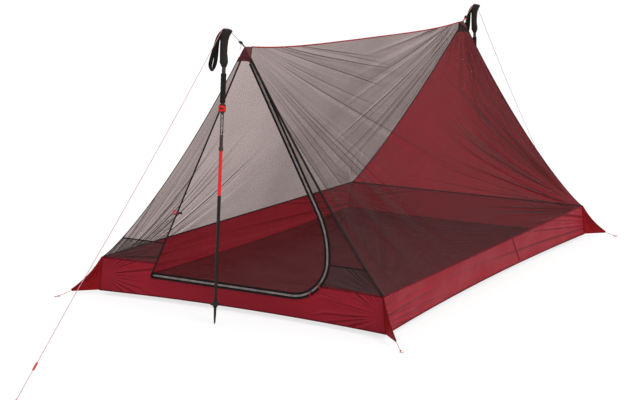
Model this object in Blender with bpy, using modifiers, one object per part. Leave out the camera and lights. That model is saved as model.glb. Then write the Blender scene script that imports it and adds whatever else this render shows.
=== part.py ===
"""A two-person ridge tent of mesh and coated fabric, held up by two trekking poles.

Units are metres. X runs across the tent, Y along the ridge with the door at the -Y end, and Z up.
The origin is on the ground under the middle of the floor.
"""
import math

import bmesh
import bpy
from mathutils import Matrix, Vector

# Tent body
FLOOR_LENGTH = 2.130
FLOOR_WIDTH = 1.270
HEM_LIFT = 0.020            # the floor's rim stands this far above the ground
HEM_BOW_END = 0.045         # how far the end hems curve in between their corners
HEM_BOW_SIDE = 0.035
FLOOR_RISE_REACH = 0.110    # width of the strip in which the floor climbs to its hem
WALL_LEAN_END = 0.003       # how far the bathtub's upper rim stands inside the floor's corners
WALL_LEAN_SIDE = 0.015
WALL_HEIGHT = 0.134
PEAK_HEIGHT = 1.012
PEAK_INSET = 0.055          # each peak stands this far inside its end of the rim
HIP_SAG_ACROSS = 0.040
HIP_SAG_ALONG = 0.028
RIDGE_SAG = 0.027
SLOPE_FOLD_DEPTH = 0.006    # tension folds that fan out from the peaks
WALL_FOLD_DEPTH = 0.004     # tension folds that fan out from the wall's corners
PATCH_REACH = 0.050         # how far a peak patch runs down the hips and along the ridge
PATCH_TIP = 0.004
FABRIC = 0.0008
PATCH_FABRIC = 0.0010
PIPING_RADIUS = 0.0025

# Seams and clearances
GAP = 0.0003                # between two pieces that touch
FOLD_INSET = 0.0006         # sheet edge to seam line where the sheets meet at an angle
FLAT_INSET = 0.0004         # the same where they lie in one plane
HEM_INSET = 0.0009          # the same at the hem, where one of the sheets is the floor
HINGE_INSET = 0.0008        # sheet edge to the door's hinge line
FOOT_LEAN = 0.008           # the front wall's seam at the door's foot leans this far
TAPE_INSET = 0.0011         # the zip's outer tape to the hip
STRIP_INSET = 0.0024        # mesh strip to the zip's tape, which bows between two rows of the strip
OVERRUN = 0.010             # how far a cutter runs past what it cuts

# Door and zip, in the door's own plane: across, and height above the ground
SILL_HEIGHT = 0.105
SILL_INSET = 0.017          # the sill stands this far inside the rim's end line
DOOR_TOP_DROP = 0.054       # from the peak down to the door's top
DOOR_TOP_INSET = 0.060
DOOR_TOP_WIDTH = 0.044
HINGE_FOOT_SHARE = 0.6403   # across, the foot of the door's seam as a share of half the rim's width
ZIP_FAR_SHARE = 0.6097      # the same for the zip's farthest place
ZIP_TOP_STAND = 0.0068      # across, from the zip's top to the hip
ZIP_CORNER_RADIUS = 0.145
ZIP_BEND_RADIUS = 0.360
ZIP_HALF_WIDTH = 0.008
ZIP_THICKNESS = 0.0012
SLIDER_LENGTH = 0.013
SLIDER_WIDTH = 0.010
SLIDER_THICKNESS = 0.003
PULL_LENGTH = 0.022
PULL_WIDTH = 0.004
SLIDER_ANGLES = {"upper": math.radians(-36.0), "lower": math.radians(-56.0)}
TIEBACK_HEIGHT = 0.362
TIEBACK_LOOP_RADIUS = 0.009
TIEBACK_CORD_RADIUS = 0.0012
TOGGLE_LENGTH = 0.024
TOGGLE_RADIUS = 0.003

# Corner gussets and cords
GUSSET_REACH = 0.078
GUSSET_TIP = 0.004
GUSSET_FABRIC = 0.0010
GUSSET_SAG = 0.006
CORNER_CORD_REACH = 0.066
CORNER_CORD = 0.0022
CORNER_EYE_RADIUS = 0.006

# Peak hardware and guylines
TAB_LENGTH = 0.024
TAB_DIAMETER = 0.0030
LOCK_LENGTH = 0.018
LOCK_WIDTH = 0.012
LOCK_THICKNESS = 0.0045
GUYLINE = 0.0020
GUY_REACH = 1.270           # from the floor's end to the end of the guyline on the ground
GUY_SAG = 0.012
GUY_SHOULDER = 0.016        # where the guyline leaves the pole's head, out from its axis
GUY_SHOULDER_DROP = 0.0015
GUY_EYE_RADIUS = 0.008
GUY_KNOT_RADIUS = 0.003
TENSIONER_LENGTH = 0.030
TENSIONER_RADIUS = 0.0036
TENSIONER_BORE = 0.0014
TENSIONER_STAND = 0.120     # from the eye's middle to the tensioner's lower end
STRAIGHT_RUN = 0.420        # the guyline's lower end has no sag along this length

# Trekking poles: places along the pole, from its point up
POLE_LENGTH = 1.086
POLE_FOOT_REACH = 0.144     # the pole's point stands this far outside the floor's end
POLE_HEAD_REACH = 0.075
POLE_TURN = math.radians(30.0)
TIP_LENGTH = 0.065
TIP_RADIUS = 0.0055
TIP_POINT_RADIUS = 0.0015
TIP_POINT_LENGTH = 0.005
BASKET_HEIGHT = 0.028
BASKET_RADIUS = 0.0185
BASKET_HUB_RADIUS = 0.0085
LOWER_FOOT_RADIUS = 0.0050
LOWER_HEAD_RADIUS = 0.0065
RED_LENGTH = 0.165
RED_RADIUS = 0.0062
COLLAR_LENGTH = 0.0145
COLLAR_RADIUS = 0.0082
MIDDLE_RADIUS = 0.0062
MIDDLE_SHOWN = 0.126        # between the collar and the clamp
MIDDLE_HIDDEN = 0.100       # inside the upper tube
UPPER_RADIUS = 0.0072
UPPER_WALL = 0.0006
CLAMP_LENGTH = 0.029
CLAMP_RADIUS = 0.0125
CLAMP_LIP = 0.004
LEVER_THICKNESS = 0.0024
LEVER_HEIGHT = 0.021
LEVER_PIN_RADIUS = 0.0013
LEVER_BARREL_RADIUS = 0.0028
LEVER_PIN_ANGLE = math.radians(-58.0)
LEVER_SWEEP = math.radians(165.0)
EAR_THICKNESS = 0.003
FOAM_LENGTH = 0.107
FOAM_RADIUS = 0.0102
FOAM_GROOVE = 0.0008
FOAM_RIBS = 7
FOAM_STAND = 0.005          # bare tube between clamp and foam
GRIP_STAND = 0.023          # bare tube between foam and grip
GRIP_LENGTH = 0.138
GRIP_RADIUS = 0.015
GRIP_SOCKET = 0.100
STRAP_DROP = 0.150
STRAP_WIDTH = 0.016
STRAP_THICKNESS = 0.0024
STRAP_TOP_BELOW_HEAD = 0.015

# The grip's rings. Each has its height as a share of the grip's length, and then its middle, half width
# and half depth as shares of the grip's radius.
GRIP_RING_SHARES = [
    (0.000, 0.00, 0.60, 0.60), (0.043, 0.00, 0.74, 0.74), (0.116, -0.07, 1.03, 0.93),
    (0.196, -0.07, 1.00, 0.93), (0.355, -0.20, 0.92, 0.87), (0.514, -0.20, 0.93, 0.87),
    (0.696, -0.13, 1.00, 0.93), (0.804, 0.00, 1.12, 1.00), (0.877, 0.20, 1.27, 1.00),
    (0.942, 0.47, 1.33, 0.93), (0.978, 0.40, 1.13, 0.73), (1.000, 0.27, 0.67, 0.40),
]
# The strap's middle line as shares of its drop, from its top on the grip's head
STRAP_ROUTE_SHARES = [
    (-0.03, 0.0), (-0.07, -0.1), (-0.11, -0.28), (-0.19, -0.547), (-0.25, -0.78), (-0.23, -0.90),
    (-0.155, -0.973), (-0.075, -0.90), (-0.04, -0.747), (-0.02, -0.55), (-0.01, -0.30), (0.0, -0.10),
]

# The basket's outer side, from its head down: shares of the way from hub to rim, and of its height
BASKET_SIDE_SHARES = [(0, 1), (0, 0.65), (1, 0.40), (1, 0.26), (0, 0.30), (0, 0)]
TIP_NECK_SHARES = (0.75, 0.40)      # radius and height of the place where the tip starts to taper faster
TIP_SHOULDER_SHARE = 0.55           # the tip's radius above its steel point
CLAMP_NECK_SHARE = 0.85             # the clamp's radius at both ends
TENSIONER_NECK_SHARE = 0.70         # radius at the tensioner's ends, and the length that keeps the full one
EAR_CORNER_SHARE = 0.90             # how round the ears are that hold the lever's pin
COLUMN_LEAN_SHARE = 0.54            # lean of the front wall's seams beside the door, of the wall's height
EYE_TURN_SHARE = 0.86               # how much of a full turn the eye of a corner cord makes
LOOP_TURN_SHARE = 0.96              # the same for the loop at the guyline's end
KNOT_SEAT_SHARE = 0.80              # how far the knot's middle stands off its loop, of the knot's radius

# Counts
HIP_ROWS = 13               # rows between rim and patch, the same in all sheets that meet at a hip
STRIP_ROWS = 10             # of these, the ones that the narrow mesh beside the zip reaches
SLOPE_COLUMNS = 20
WALL_COLUMNS, WALL_ROWS = 24, 4
PANEL_COLUMNS = 3
REAR_COLUMNS = 10
FLOOR_COLUMNS, FLOOR_ROWS = 14, 18
SIDES = 16

RIM_HEIGHT = HEM_LIFT + WALL_HEIGHT
RIM_LENGTH = FLOOR_LENGTH - 2 * WALL_LEAN_END
RIM_WIDTH = FLOOR_WIDTH - 2 * WALL_LEAN_SIDE
DOOR_TOP_HEIGHT = PEAK_HEIGHT - DOOR_TOP_DROP
PATCH_EDGE = PATCH_REACH + PIPING_RADIUS
SHEET_END = PATCH_EDGE + PATCH_FABRIC + GAP
COLOURS = {
    "mesh": (0.27, 0.24, 0.23), "wall_red": (0.33, 0.02, 0.04), "roof_red": (0.26, 0.02, 0.04),
    "burgundy": (0.12, 0.02, 0.03), "piping": (0.35, 0.03, 0.04), "zip": (0.03, 0.03, 0.03),
    "red_cord": (0.60, 0.05, 0.06), "black": (0.015, 0.014, 0.013), "foam": (0.022, 0.020, 0.019),
    "grip": (0.02, 0.018, 0.017), "tube": (0.10, 0.08, 0.075), "red_tube": (0.75, 0.04, 0.05),
    "lever_red": (0.70, 0.05, 0.04),
}
METALLIC = {"tube": 0.6, "red_tube": 0.4}
ROUGHNESS = {"tube": 0.35, "red_tube": 0.35, "lever_red": 0.4, "black": 0.45}

parts = None
cutters = None


def clear_scene():
    for thing in list(bpy.data.objects):
        bpy.data.objects.remove(thing, do_unlink=True)


def make_collections():
    global parts, cutters
    parts = bpy.data.collections.new("trekking_pole_tent")
    cutters = bpy.data.collections.new("cutters")
    for collection in (parts, cutters):
        bpy.context.scene.collection.children.link(collection)


def make_material(name, finish):
    material = bpy.data.materials.new(name)
    material.use_nodes = True
    shader = material.node_tree.nodes["Principled BSDF"]
    shader.inputs["Base Color"].default_value = (*COLOURS[finish], 1.0)
    shader.inputs["Roughness"].default_value = ROUGHNESS.get(finish, 0.75)
    shader.inputs["Metallic"].default_value = METALLIC.get(finish, 0.0)
    return material


def add_object(name, data, finish, parent=None, location=(0, 0, 0), rotation=(0, 0, 0)):
    thing = bpy.data.objects.new(name, data)
    thing.location = location
    thing.rotation_euler = rotation
    thing.parent = parent
    parts.objects.link(thing)
    data.materials.append(make_material(name, finish))
    return thing


def add_empty(name, location, rotation=(0, 0, 0), parent=None):
    empty = bpy.data.objects.new(name, None)
    empty.empty_display_size = GUSSET_REACH
    empty.location = location
    empty.rotation_euler = rotation
    empty.parent = parent
    parts.objects.link(empty)
    return empty


def as_cutter(thing):
    parts.objects.unlink(thing)
    cutters.objects.link(thing)
    thing.hide_render = True
    thing.display_type = 'WIRE'
    return thing


def add_boolean(thing, other, operation):
    modifier = thing.modifiers.new(operation.lower(), 'BOOLEAN')
    modifier.operation = operation
    modifier.object = other
    modifier.solver = 'EXACT'


def line(start, end):
    """A straight edge as a function of the share along it."""
    return lambda share: start.lerp(end, share)


def bowed_line(start, end, bow):
    """An edge that curves by the vector bow at its middle."""
    return lambda share: start.lerp(end, share) + bow * (4 * share * (1 - share))


def polyline(points):
    """An edge through points, with the same share of it for each stretch."""
    stretches = len(points) - 1

    def edge(share):
        index = min(int(share * stretches), stretches - 1)
        return points[index].lerp(points[index + 1], share * stretches - index)
    return edge


def smooth_through(points, steps, closed=False):
    """Points on the Catmull-Rom curve through the given points, steps to each stretch."""
    count = len(points)
    found = []
    for index in range(count if closed else count - 1):
        if closed:
            before, start, end, after = (points[(index + shift) % count] for shift in (-1, 0, 1, 2))
        else:
            before, start = points[max(index - 1, 0)], points[index]
            end, after = points[index + 1], points[min(index + 2, count - 1)]
        for step in range(steps):
            t = step / steps
            found.append(0.5 * (2 * start + (end - before) * t
                                + (2 * before - 5 * start + 4 * end - after) * t ** 2
                                + (3 * start - before - 3 * end + after) * t ** 3))
    if not closed:
        found.append(points[-1].copy())
    return found


def make_sheet(name, finish, edges, columns, rows, insets, thickness=FABRIC, relief=None, parent=None):
    """A cloth panel between four edges: bottom and top run left to right, left and right run bottom to top.

    insets gives how far the cloth stops short of its left, right, bottom and top edge.
    relief gives a height off the plain surface at a place on it.
    """
    bottom, top, left, right = edges

    def surface(u, v):
        ruled_up = bottom(u).lerp(top(u), v)
        ruled_across = left(v).lerp(right(v), u)
        corners = bottom(0).lerp(bottom(1), u).lerp(top(0).lerp(top(1), u), v)
        return ruled_up + ruled_across - corners

    mesh = bpy.data.meshes.new(name)
    bm = bmesh.new()
    bmesh.ops.create_grid(bm, x_segments=columns, y_segments=rows, size=0.5)
    places = []
    for vertex in bm.verts:
        u, v = vertex.co.x + 0.5, vertex.co.y + 0.5
        width = (surface(1, v) - surface(0, v)).length
        height = (surface(u, 1) - surface(u, 0)).length
        u_in = insets[0] / width + u * (1 - (insets[0] + insets[1]) / width)
        v_in = insets[2] / height + v * (1 - (insets[2] + insets[3]) / height)
        places.append((u, v, surface(u_in, v_in)))
    for vertex, (u, v, place) in zip(bm.verts, places):
        vertex.co = place
    bm.normal_update()
    if relief:
        moved = [vertex.co + vertex.normal * relief(u, v) for vertex, (u, v, _) in zip(bm.verts, places)]
        for vertex, place in zip(bm.verts, moved):
            vertex.co = place
    bm.to_mesh(mesh)
    bm.free()
    mesh.shade_smooth()
    thing = add_object(name, mesh, finish, parent)
    solidify = thing.modifiers.new("cloth", 'SOLIDIFY')
    solidify.thickness = thickness
    solidify.offset = 0
    solidify.use_even_offset = True
    return thing


def make_turned(name, finish, profile, parent=None, location=(0, 0, 0), rotation=(0, 0, 0), sides=SIDES):
    """A turned piece. profile is (radius, height) down the outer side, closed on the axis or on itself."""
    mesh = bpy.data.meshes.new(name)
    bm = bmesh.new()
    ring = [bm.verts.new((radius, 0, height)) for radius, height in profile]
    for first, second in zip(ring, ring[1:]):
        bm.edges.new((first, second))
    if profile[0][0] > 0:
        bm.edges.new((ring[-1], ring[0]))
    bm.to_mesh(mesh)
    bm.free()
    thing = add_object(name, mesh, finish, parent, location, rotation)
    screw = thing.modifiers.new("turn", 'SCREW')
    screw.steps = sides
    screw.render_steps = sides
    screw.use_merge_vertices = True
    screw.merge_threshold = GAP / 3
    screw.use_smooth_shade = True
    return thing


def make_plate(name, finish, outlines, thickness, parent=None, location=(0, 0, 0), rotation=(0, 0, 0)):
    """A flat piece of even thickness. The first outline is its edge and the rest are holes."""
    curve = bpy.data.curves.new(name, 'CURVE')
    curve.dimensions = '2D'
    curve.fill_mode = 'BOTH'
    curve.extrude = thickness / 2
    for outline in outlines:
        spline = curve.splines.new('POLY')
        spline.points.add(len(outline) - 1)
        for point, place in zip(spline.points, outline):
            point.co = (place[0], place[1], 0, 1)
        spline.use_cyclic_u = True
    return add_object(name, curve, finish, parent, location, rotation)


def make_cord(name, finish, points, diameter, parent=None):
    curve = bpy.data.curves.new(name, 'CURVE')
    curve.dimensions = '3D'
    curve.bevel_depth = diameter / 2
    curve.bevel_resolution = 2
    curve.use_fill_caps = True
    spline = curve.splines.new('POLY')
    spline.points.add(len(points) - 1)
    for point, place in zip(spline.points, points):
        point.co = (*place, 1)
    return add_object(name, curve, finish, parent)


def rounded_box(width, length, corner, steps=3):
    """The outline of a rectangle with round corners, about its middle."""
    outline = []
    for quarter, (side, end) in enumerate(((1, 1), (-1, 1), (-1, -1), (1, -1))):
        for step in range(steps + 1):
            angle = (quarter + step / steps) * math.pi / 2
            outline.append((side * (width / 2 - corner) + corner * math.cos(angle),
                            end * (length / 2 - corner) + corner * math.sin(angle)))
    return outline


# Places on the tent body. side is -1 or 1 across, end is -1 at the door and 1 at the rear.

def hem_corner(side, end):
    return Vector((side * FLOOR_WIDTH / 2, end * FLOOR_LENGTH / 2, HEM_LIFT))


def rim_corner(side, end):
    return Vector((side * RIM_WIDTH / 2, end * RIM_LENGTH / 2, RIM_HEIGHT))


def peak(end):
    return Vector((0, end * (RIM_LENGTH / 2 - PEAK_INSET), PEAK_HEIGHT))


def hip(side, end, share):
    """A place on the curved edge from a rim corner to its peak. It sags most below its middle."""
    skewed = max(share, 0.0) ** 0.75
    sag = 4 * skewed * (1 - skewed)
    straight = rim_corner(side, end).lerp(peak(end), share)
    return straight - Vector((side * HIP_SAG_ACROSS * sag, end * HIP_SAG_ALONG * sag, 0))


def ridge(share):
    """A place on the ridge, from the front peak to the rear one."""
    sag = RIDGE_SAG * (1 - abs(2 * share - 1) ** 4)
    return peak(-1).lerp(peak(1), share) - Vector((0, 0, sag))


HIP_LENGTH = (rim_corner(1, -1) - peak(-1)).length
RIDGE_LENGTH = (peak(1) - peak(-1)).length


def hip_stretch(side, end, start, stop):
    return lambda share: hip(side, end, start + share * (stop - start))


def hip_share_below_peak(distance):
    return 1 - distance / HIP_LENGTH


def down_slope(side):
    """The direction straight down a roof slope from the ridge."""
    return Vector((side * RIM_WIDTH / 2, 0, RIM_HEIGHT - PEAK_HEIGHT)).normalized()


def fan_folds(u, v):
    """Folds that fan out from both upper corners of a panel and fade at its edges."""
    from_front = math.atan2(1 - v, 2 * u)
    from_rear = math.atan2(1 - v, 2 * (1 - u))
    fade = 16 * u * (1 - u) * v * (1 - v)
    return SLOPE_FOLD_DEPTH * fade * (math.sin(14 * from_front) * (1 - u) + math.sin(14 * from_rear) * u)


def corner_folds(u, v):
    """Slanting folds near both ends of a wall, which fade towards its middle and its edges."""
    from_end = min(u, 1 - u)
    fade = 4 * v * (1 - v) * math.sin(min(from_end * 12, 1) * math.pi / 2) * (1 - from_end) ** 4
    return WALL_FOLD_DEPTH * fade * math.sin(60 * from_end + 5 * v)


def hem_bow(side, end):
    """How far in the hem curves at the middle of a side or an end."""
    return Vector((-side * HEM_BOW_SIDE, -end * HEM_BOW_END, 0))


# Places in the door's plane. Its own axes are across, up the plane, and out through the front.

DOOR_TILT = math.atan2(DOOR_TOP_INSET - SILL_INSET, DOOR_TOP_HEIGHT - SILL_HEIGHT)
DOOR_PLANE_Y = -RIM_LENGTH / 2 + SILL_INSET - SILL_HEIGHT * math.tan(DOOR_TILT)
DOOR_TOP_SHARE = (DOOR_TOP_HEIGHT - RIM_HEIGHT) / (PEAK_HEIGHT - RIM_HEIGHT)
HINGE_FOOT_X = -HINGE_FOOT_SHARE * RIM_WIDTH / 2
ZIP_FAR_X = ZIP_FAR_SHARE * RIM_WIDTH / 2
ZIP_TOP_X = hip(1, -1, DOOR_TOP_SHARE).x - ZIP_TOP_STAND
HINGE_TOP_X = ZIP_TOP_X - DOOR_TOP_WIDTH


def on_door_plane(x, height):
    return Vector((x, DOOR_PLANE_Y + height * math.tan(DOOR_TILT), height))


def in_plane(place):
    """A place given across and by its height, in the plane's own axes."""
    return Vector((place[0], place[1] / math.cos(DOOR_TILT)))


def zip_lean():
    """How far the zip's long side leans in, so that it runs straight from its bend to its top."""
    across = ZIP_TOP_X - ZIP_FAR_X + ZIP_BEND_RADIUS
    up = DOOR_TOP_HEIGHT - SILL_HEIGHT - ZIP_CORNER_RADIUS
    return math.atan2(up, across) - math.acos(ZIP_BEND_RADIUS / math.hypot(across, up))


ZIP_LEAN = zip_lean()


def zip_path(offset, top, steps=8):
    """The zip's track, moved outward by offset: the sill from the hinge, corner, bend and long side."""
    corner = Vector((ZIP_FAR_X - ZIP_CORNER_RADIUS, SILL_HEIGHT + ZIP_CORNER_RADIUS))
    bend = Vector((ZIP_FAR_X - ZIP_BEND_RADIUS, corner.y))
    path = [Vector((HINGE_FOOT_X, SILL_HEIGHT - offset))]
    for step in range(steps + 1):
        angle = -math.pi / 2 + step / steps * math.pi / 2
        path.append(corner + (ZIP_CORNER_RADIUS + offset) * Vector((math.cos(angle), math.sin(angle))))
    for step in range(1, steps // 2 + 1):
        angle = step / (steps // 2) * ZIP_LEAN
        path.append(bend + (ZIP_BEND_RADIUS + offset) * Vector((math.cos(angle), math.sin(angle))))
    rise = top - path[-1].y
    path.append(path[-1] + Vector((-rise * math.tan(ZIP_LEAN), rise)))
    return path


def hinge_x(height):
    share = (height - SILL_HEIGHT) / (DOOR_TOP_HEIGHT - SILL_HEIGHT)
    return HINGE_FOOT_X + share * (HINGE_TOP_X - HINGE_FOOT_X)


def zip_edge_x(offset, height):
    """Where the zip's long side, moved outward by offset, passes a height."""
    path = zip_path(offset, DOOR_TOP_HEIGHT)
    for start, end in zip(path, path[1:]):
        if start.y <= height <= end.y and end.y > start.y:
            return start.lerp(end, (height - start.y) / (end.y - start.y)).x
    return path[-1].x


HINGE_NORMAL = Vector((DOOR_TOP_HEIGHT - SILL_HEIGHT, HINGE_FOOT_X - HINGE_TOP_X)).normalized()


def make_floor():
    def edge(axis, sign):
        across = axis == 'X'
        start = hem_corner(sign if across else -1, -1 if across else sign)
        end = hem_corner(sign if across else 1, 1 if across else sign)
        return bowed_line(start, end, hem_bow(sign, 0) if across else hem_bow(0, sign))

    floor = make_sheet("floor", "wall_red", (edge('Y', -1), edge('Y', 1), edge('X', -1), edge('X', 1)),
                       FLOOR_COLUMNS, FLOOR_ROWS, (FOLD_INSET,) * 4)
    for vertex in floor.data.vertices:
        across = 1 - abs(vertex.co.x) / (FLOOR_WIDTH / 2 - HEM_BOW_SIDE)
        along = 1 - abs(vertex.co.y) / (FLOOR_LENGTH / 2 - HEM_BOW_END)
        inside = min(across * FLOOR_WIDTH / 2, along * FLOOR_LENGTH / 2)
        climb = 1 - min(max(inside / FLOOR_RISE_REACH, 0), 1)
        vertex.co.z = FABRIC / 2 + (HEM_LIFT - FABRIC / 2) * climb ** 2
    return floor


def front_rim():
    """The front wall's upper edge: along the rim, down to the sill for the door and up again past it."""
    outer = ZIP_HALF_WIDTH + GAP
    low = zip_path(outer, DOOR_TOP_HEIGHT)
    left = rim_corner(-1, -1)
    right = rim_corner(1, -1)
    seam = on_door_plane(hinge_x(RIM_HEIGHT) - HINGE_INSET / HINGE_NORMAL.x, RIM_HEIGHT)
    foot_height = SILL_HEIGHT - outer
    foot = on_door_plane(hinge_x(foot_height) - HINGE_INSET / HINGE_NORMAL.x, foot_height)
    past_corner = on_door_plane(zip_edge_x(outer, RIM_HEIGHT), RIM_HEIGHT)
    points = [left.lerp(seam, share / 6) for share in range(7)] + [foot]
    points += [foot.lerp(on_door_plane(*low[1]), share / 9) for share in range(1, 10)]
    points += [on_door_plane(*place) for place in low[2:] if place.y < RIM_HEIGHT]
    points += [past_corner.lerp(right, share / 5) for share in range(6)]
    # The columns left of the door lean, so that they stay clear of the slanting seam.
    lean = [WALL_HEIGHT * COLUMN_LEAN_SHARE * share / 6 for share in range(7)] + [FOOT_LEAN]
    lean += [0] * (len(points) - len(lean))
    return points, [point.x - shift for point, shift in zip(points, lean)]


def make_walls():
    for end, word in ((-1, "front"), (1, "rear")):
        bottom = bowed_line(hem_corner(-1, end), hem_corner(1, end), hem_bow(0, end))
        columns = WALL_COLUMNS
        top = line(rim_corner(-1, end), rim_corner(1, end))
        if end < 0:
            upper, below = front_rim()
            columns = len(upper) - 1
            top = polyline(upper)
            bottom = polyline([bottom((x + RIM_WIDTH / 2) / RIM_WIDTH) for x in below])
        left = line(hem_corner(-1, end), rim_corner(-1, end))
        right = line(hem_corner(1, end), rim_corner(1, end))
        make_sheet("bathtub_wall_" + word, "wall_red", (bottom, top, left, right), columns, WALL_ROWS,
                   (FOLD_INSET, FOLD_INSET, HEM_INSET, FLAT_INSET), relief=None if end < 0 else corner_folds)
    for side, word in ((-1, "left"), (1, "right")):
        bottom = bowed_line(hem_corner(side, -1), hem_corner(side, 1), hem_bow(side, 0))
        top = line(rim_corner(side, -1), rim_corner(side, 1))
        left = line(hem_corner(side, -1), rim_corner(side, -1))
        right = line(hem_corner(side, 1), rim_corner(side, 1))
        make_sheet("bathtub_wall_" + word, "wall_red", (bottom, top, left, right), WALL_COLUMNS, WALL_ROWS,
                   (FOLD_INSET, FOLD_INSET, HEM_INSET, FOLD_INSET), relief=corner_folds)


def gusset_tip(side, end):
    corner = hem_corner(side, end)
    return corner + Vector((side * GUSSET_REACH, end * GUSSET_REACH, 0))


def make_gussets():
    for end, end_word in ((-1, "front"), (1, "rear")):
        for side, side_word in ((-1, "left"), (1, "right")):
            foot, head, tip = hem_corner(side, end), rim_corner(side, end), gusset_tip(side, end)
            tip_top = tip + Vector((0, 0, GUSSET_TIP))
            sag = Vector((-side * GUSSET_SAG, -end * GUSSET_SAG, -GUSSET_SAG))
            edges = (line(foot, tip), bowed_line(head, tip_top, sag), line(foot, head), line(tip, tip_top))
            make_sheet("corner_gusset_%s_%s" % (end_word, side_word), "wall_red", edges, 6, 3,
                       (FOLD_INSET + GAP, 0, 0, 0), GUSSET_FABRIC)


def make_roof():
    hip_top = hip_share_below_peak(SHEET_END)
    ridge_start = SHEET_END / RIDGE_LENGTH
    for side, word in ((-1, "left"), (1, "right")):
        drop = down_slope(side) * (PIPING_RADIUS + GAP)
        stretches = SLOPE_COLUMNS - 2
        upper = [hip(side, -1, hip_top)]
        for step in range(stretches + 1):
            share = ridge_start + step / stretches * (1 - 2 * ridge_start)
            upper.append(ridge(share) + drop)
        upper.append(hip(side, 1, hip_top))
        edges = (line(rim_corner(side, -1), rim_corner(side, 1)), polyline(upper),
                 hip_stretch(side, -1, 0, hip_top), hip_stretch(side, 1, 0, hip_top))
        make_sheet("mesh_roof_" + word, "mesh", edges, SLOPE_COLUMNS, HIP_ROWS,
                   (FOLD_INSET, FOLD_INSET, FOLD_INSET, 0), relief=fan_folds)


def make_ridge_piping():
    start = SHEET_END / RIDGE_LENGTH
    points = [ridge(start + step / 28 * (1 - 2 * start)) for step in range(29)]
    make_cord("ridge_piping", "piping", points, 2 * PIPING_RADIUS)


def make_front_mesh():
    hip_top = hip_share_below_peak(SHEET_END)
    left_top = hip(-1, -1, hip_top)
    seam_foot = on_door_plane(hinge_x(RIM_HEIGHT), RIM_HEIGHT)
    seam_top = on_door_plane(hinge_x(left_top.z), left_top.z)
    edges = (line(rim_corner(-1, -1), seam_foot), line(left_top, seam_top), hip_stretch(-1, -1, 0, hip_top),
             line(seam_foot, seam_top))
    make_sheet("mesh_front_left", "mesh", edges, PANEL_COLUMNS, HIP_ROWS,
               (FOLD_INSET, HINGE_INSET, FLAT_INSET, 0))

    outer = ZIP_HALF_WIDTH + STRIP_INSET
    hip_edge = polyline([hip(1, -1, hip_top * row / HIP_ROWS) for row in range(STRIP_ROWS + 1)])
    rows = 2 * STRIP_ROWS
    hip_side = [hip_edge(row / rows) for row in range(rows + 1)]
    zip_side = [on_door_plane(zip_edge_x(outer, place.z), place.z) for place in hip_side]
    edges = (line(zip_side[0], hip_side[0]), line(zip_side[-1], hip_side[-1]),
             polyline(zip_side), polyline(hip_side))
    make_sheet("mesh_front_right", "mesh", edges, PANEL_COLUMNS, rows,
               (0, FOLD_INSET, FLAT_INSET, 2 * GAP))


def make_rear_wall():
    hip_top = hip_share_below_peak(SHEET_END)
    edges = (line(rim_corner(-1, 1), rim_corner(1, 1)), line(hip(-1, 1, hip_top), hip(1, 1, hip_top)),
             hip_stretch(-1, 1, 0, hip_top), hip_stretch(1, 1, 0, hip_top))
    make_sheet("rear_wall", "roof_red", edges, REAR_COLUMNS, HIP_ROWS,
               (FOLD_INSET, FOLD_INSET, FLAT_INSET, 0), relief=fan_folds)


def patch_corners(end):
    """Where a peak patch's lower edge crosses both hips and the ridge."""
    hip_edge = hip_share_below_peak(PATCH_EDGE)
    ridge_edge = PATCH_EDGE / RIDGE_LENGTH
    return [hip(-1, end, hip_edge), hip(1, end, hip_edge), ridge(ridge_edge if end < 0 else 1 - ridge_edge)]


def patch_top(end):
    """The middle of a peak patch's blunt top, and the direction out of it."""
    outward = (peak(end) - sum(patch_corners(end), Vector()) / 3).normalized()
    return peak(end) - outward * PATCH_TIP, outward


def make_peak_patches():
    """Hollow three-sided caps of fabric, open below, where the slopes and an end wall meet."""
    for end, word in ((-1, "front"), (1, "rear")):
        corners = patch_corners(end)
        if end > 0:
            corners.reverse()
        rim = polyline(corners + corners[:1])
        middle = sum(corners, Vector()) / 3
        top, _ = patch_top(end)
        mesh = bpy.data.meshes.new("peak_patch_" + word)
        bm = bmesh.new()
        bmesh.ops.create_cone(bm, segments=12, radius1=1, radius2=1, depth=1, cap_ends=True)
        for vertex in bm.verts:
            around = (math.atan2(vertex.co.y, vertex.co.x) / (2 * math.pi)) % 1.0
            edge = rim(around)
            if vertex.co.z > 0:
                vertex.co = top + (edge - middle) * PATCH_TIP / PATCH_EDGE
            else:
                vertex.co = edge
        halfway = (middle.z + top.z) / 2
        bottom = [face for face in bm.faces if len(face.verts) > 4 and face.calc_center_median().z < halfway]
        bmesh.ops.delete(bm, geom=bottom, context='FACES_ONLY')
        bmesh.ops.recalc_face_normals(bm, faces=bm.faces)
        bm.to_mesh(mesh)
        bm.free()
        patch = add_object("peak_patch_" + word, mesh, "burgundy")
        solidify = patch.modifiers.new("cloth", 'SOLIDIFY')
        solidify.thickness = PATCH_FABRIC
        solidify.offset = -1


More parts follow.
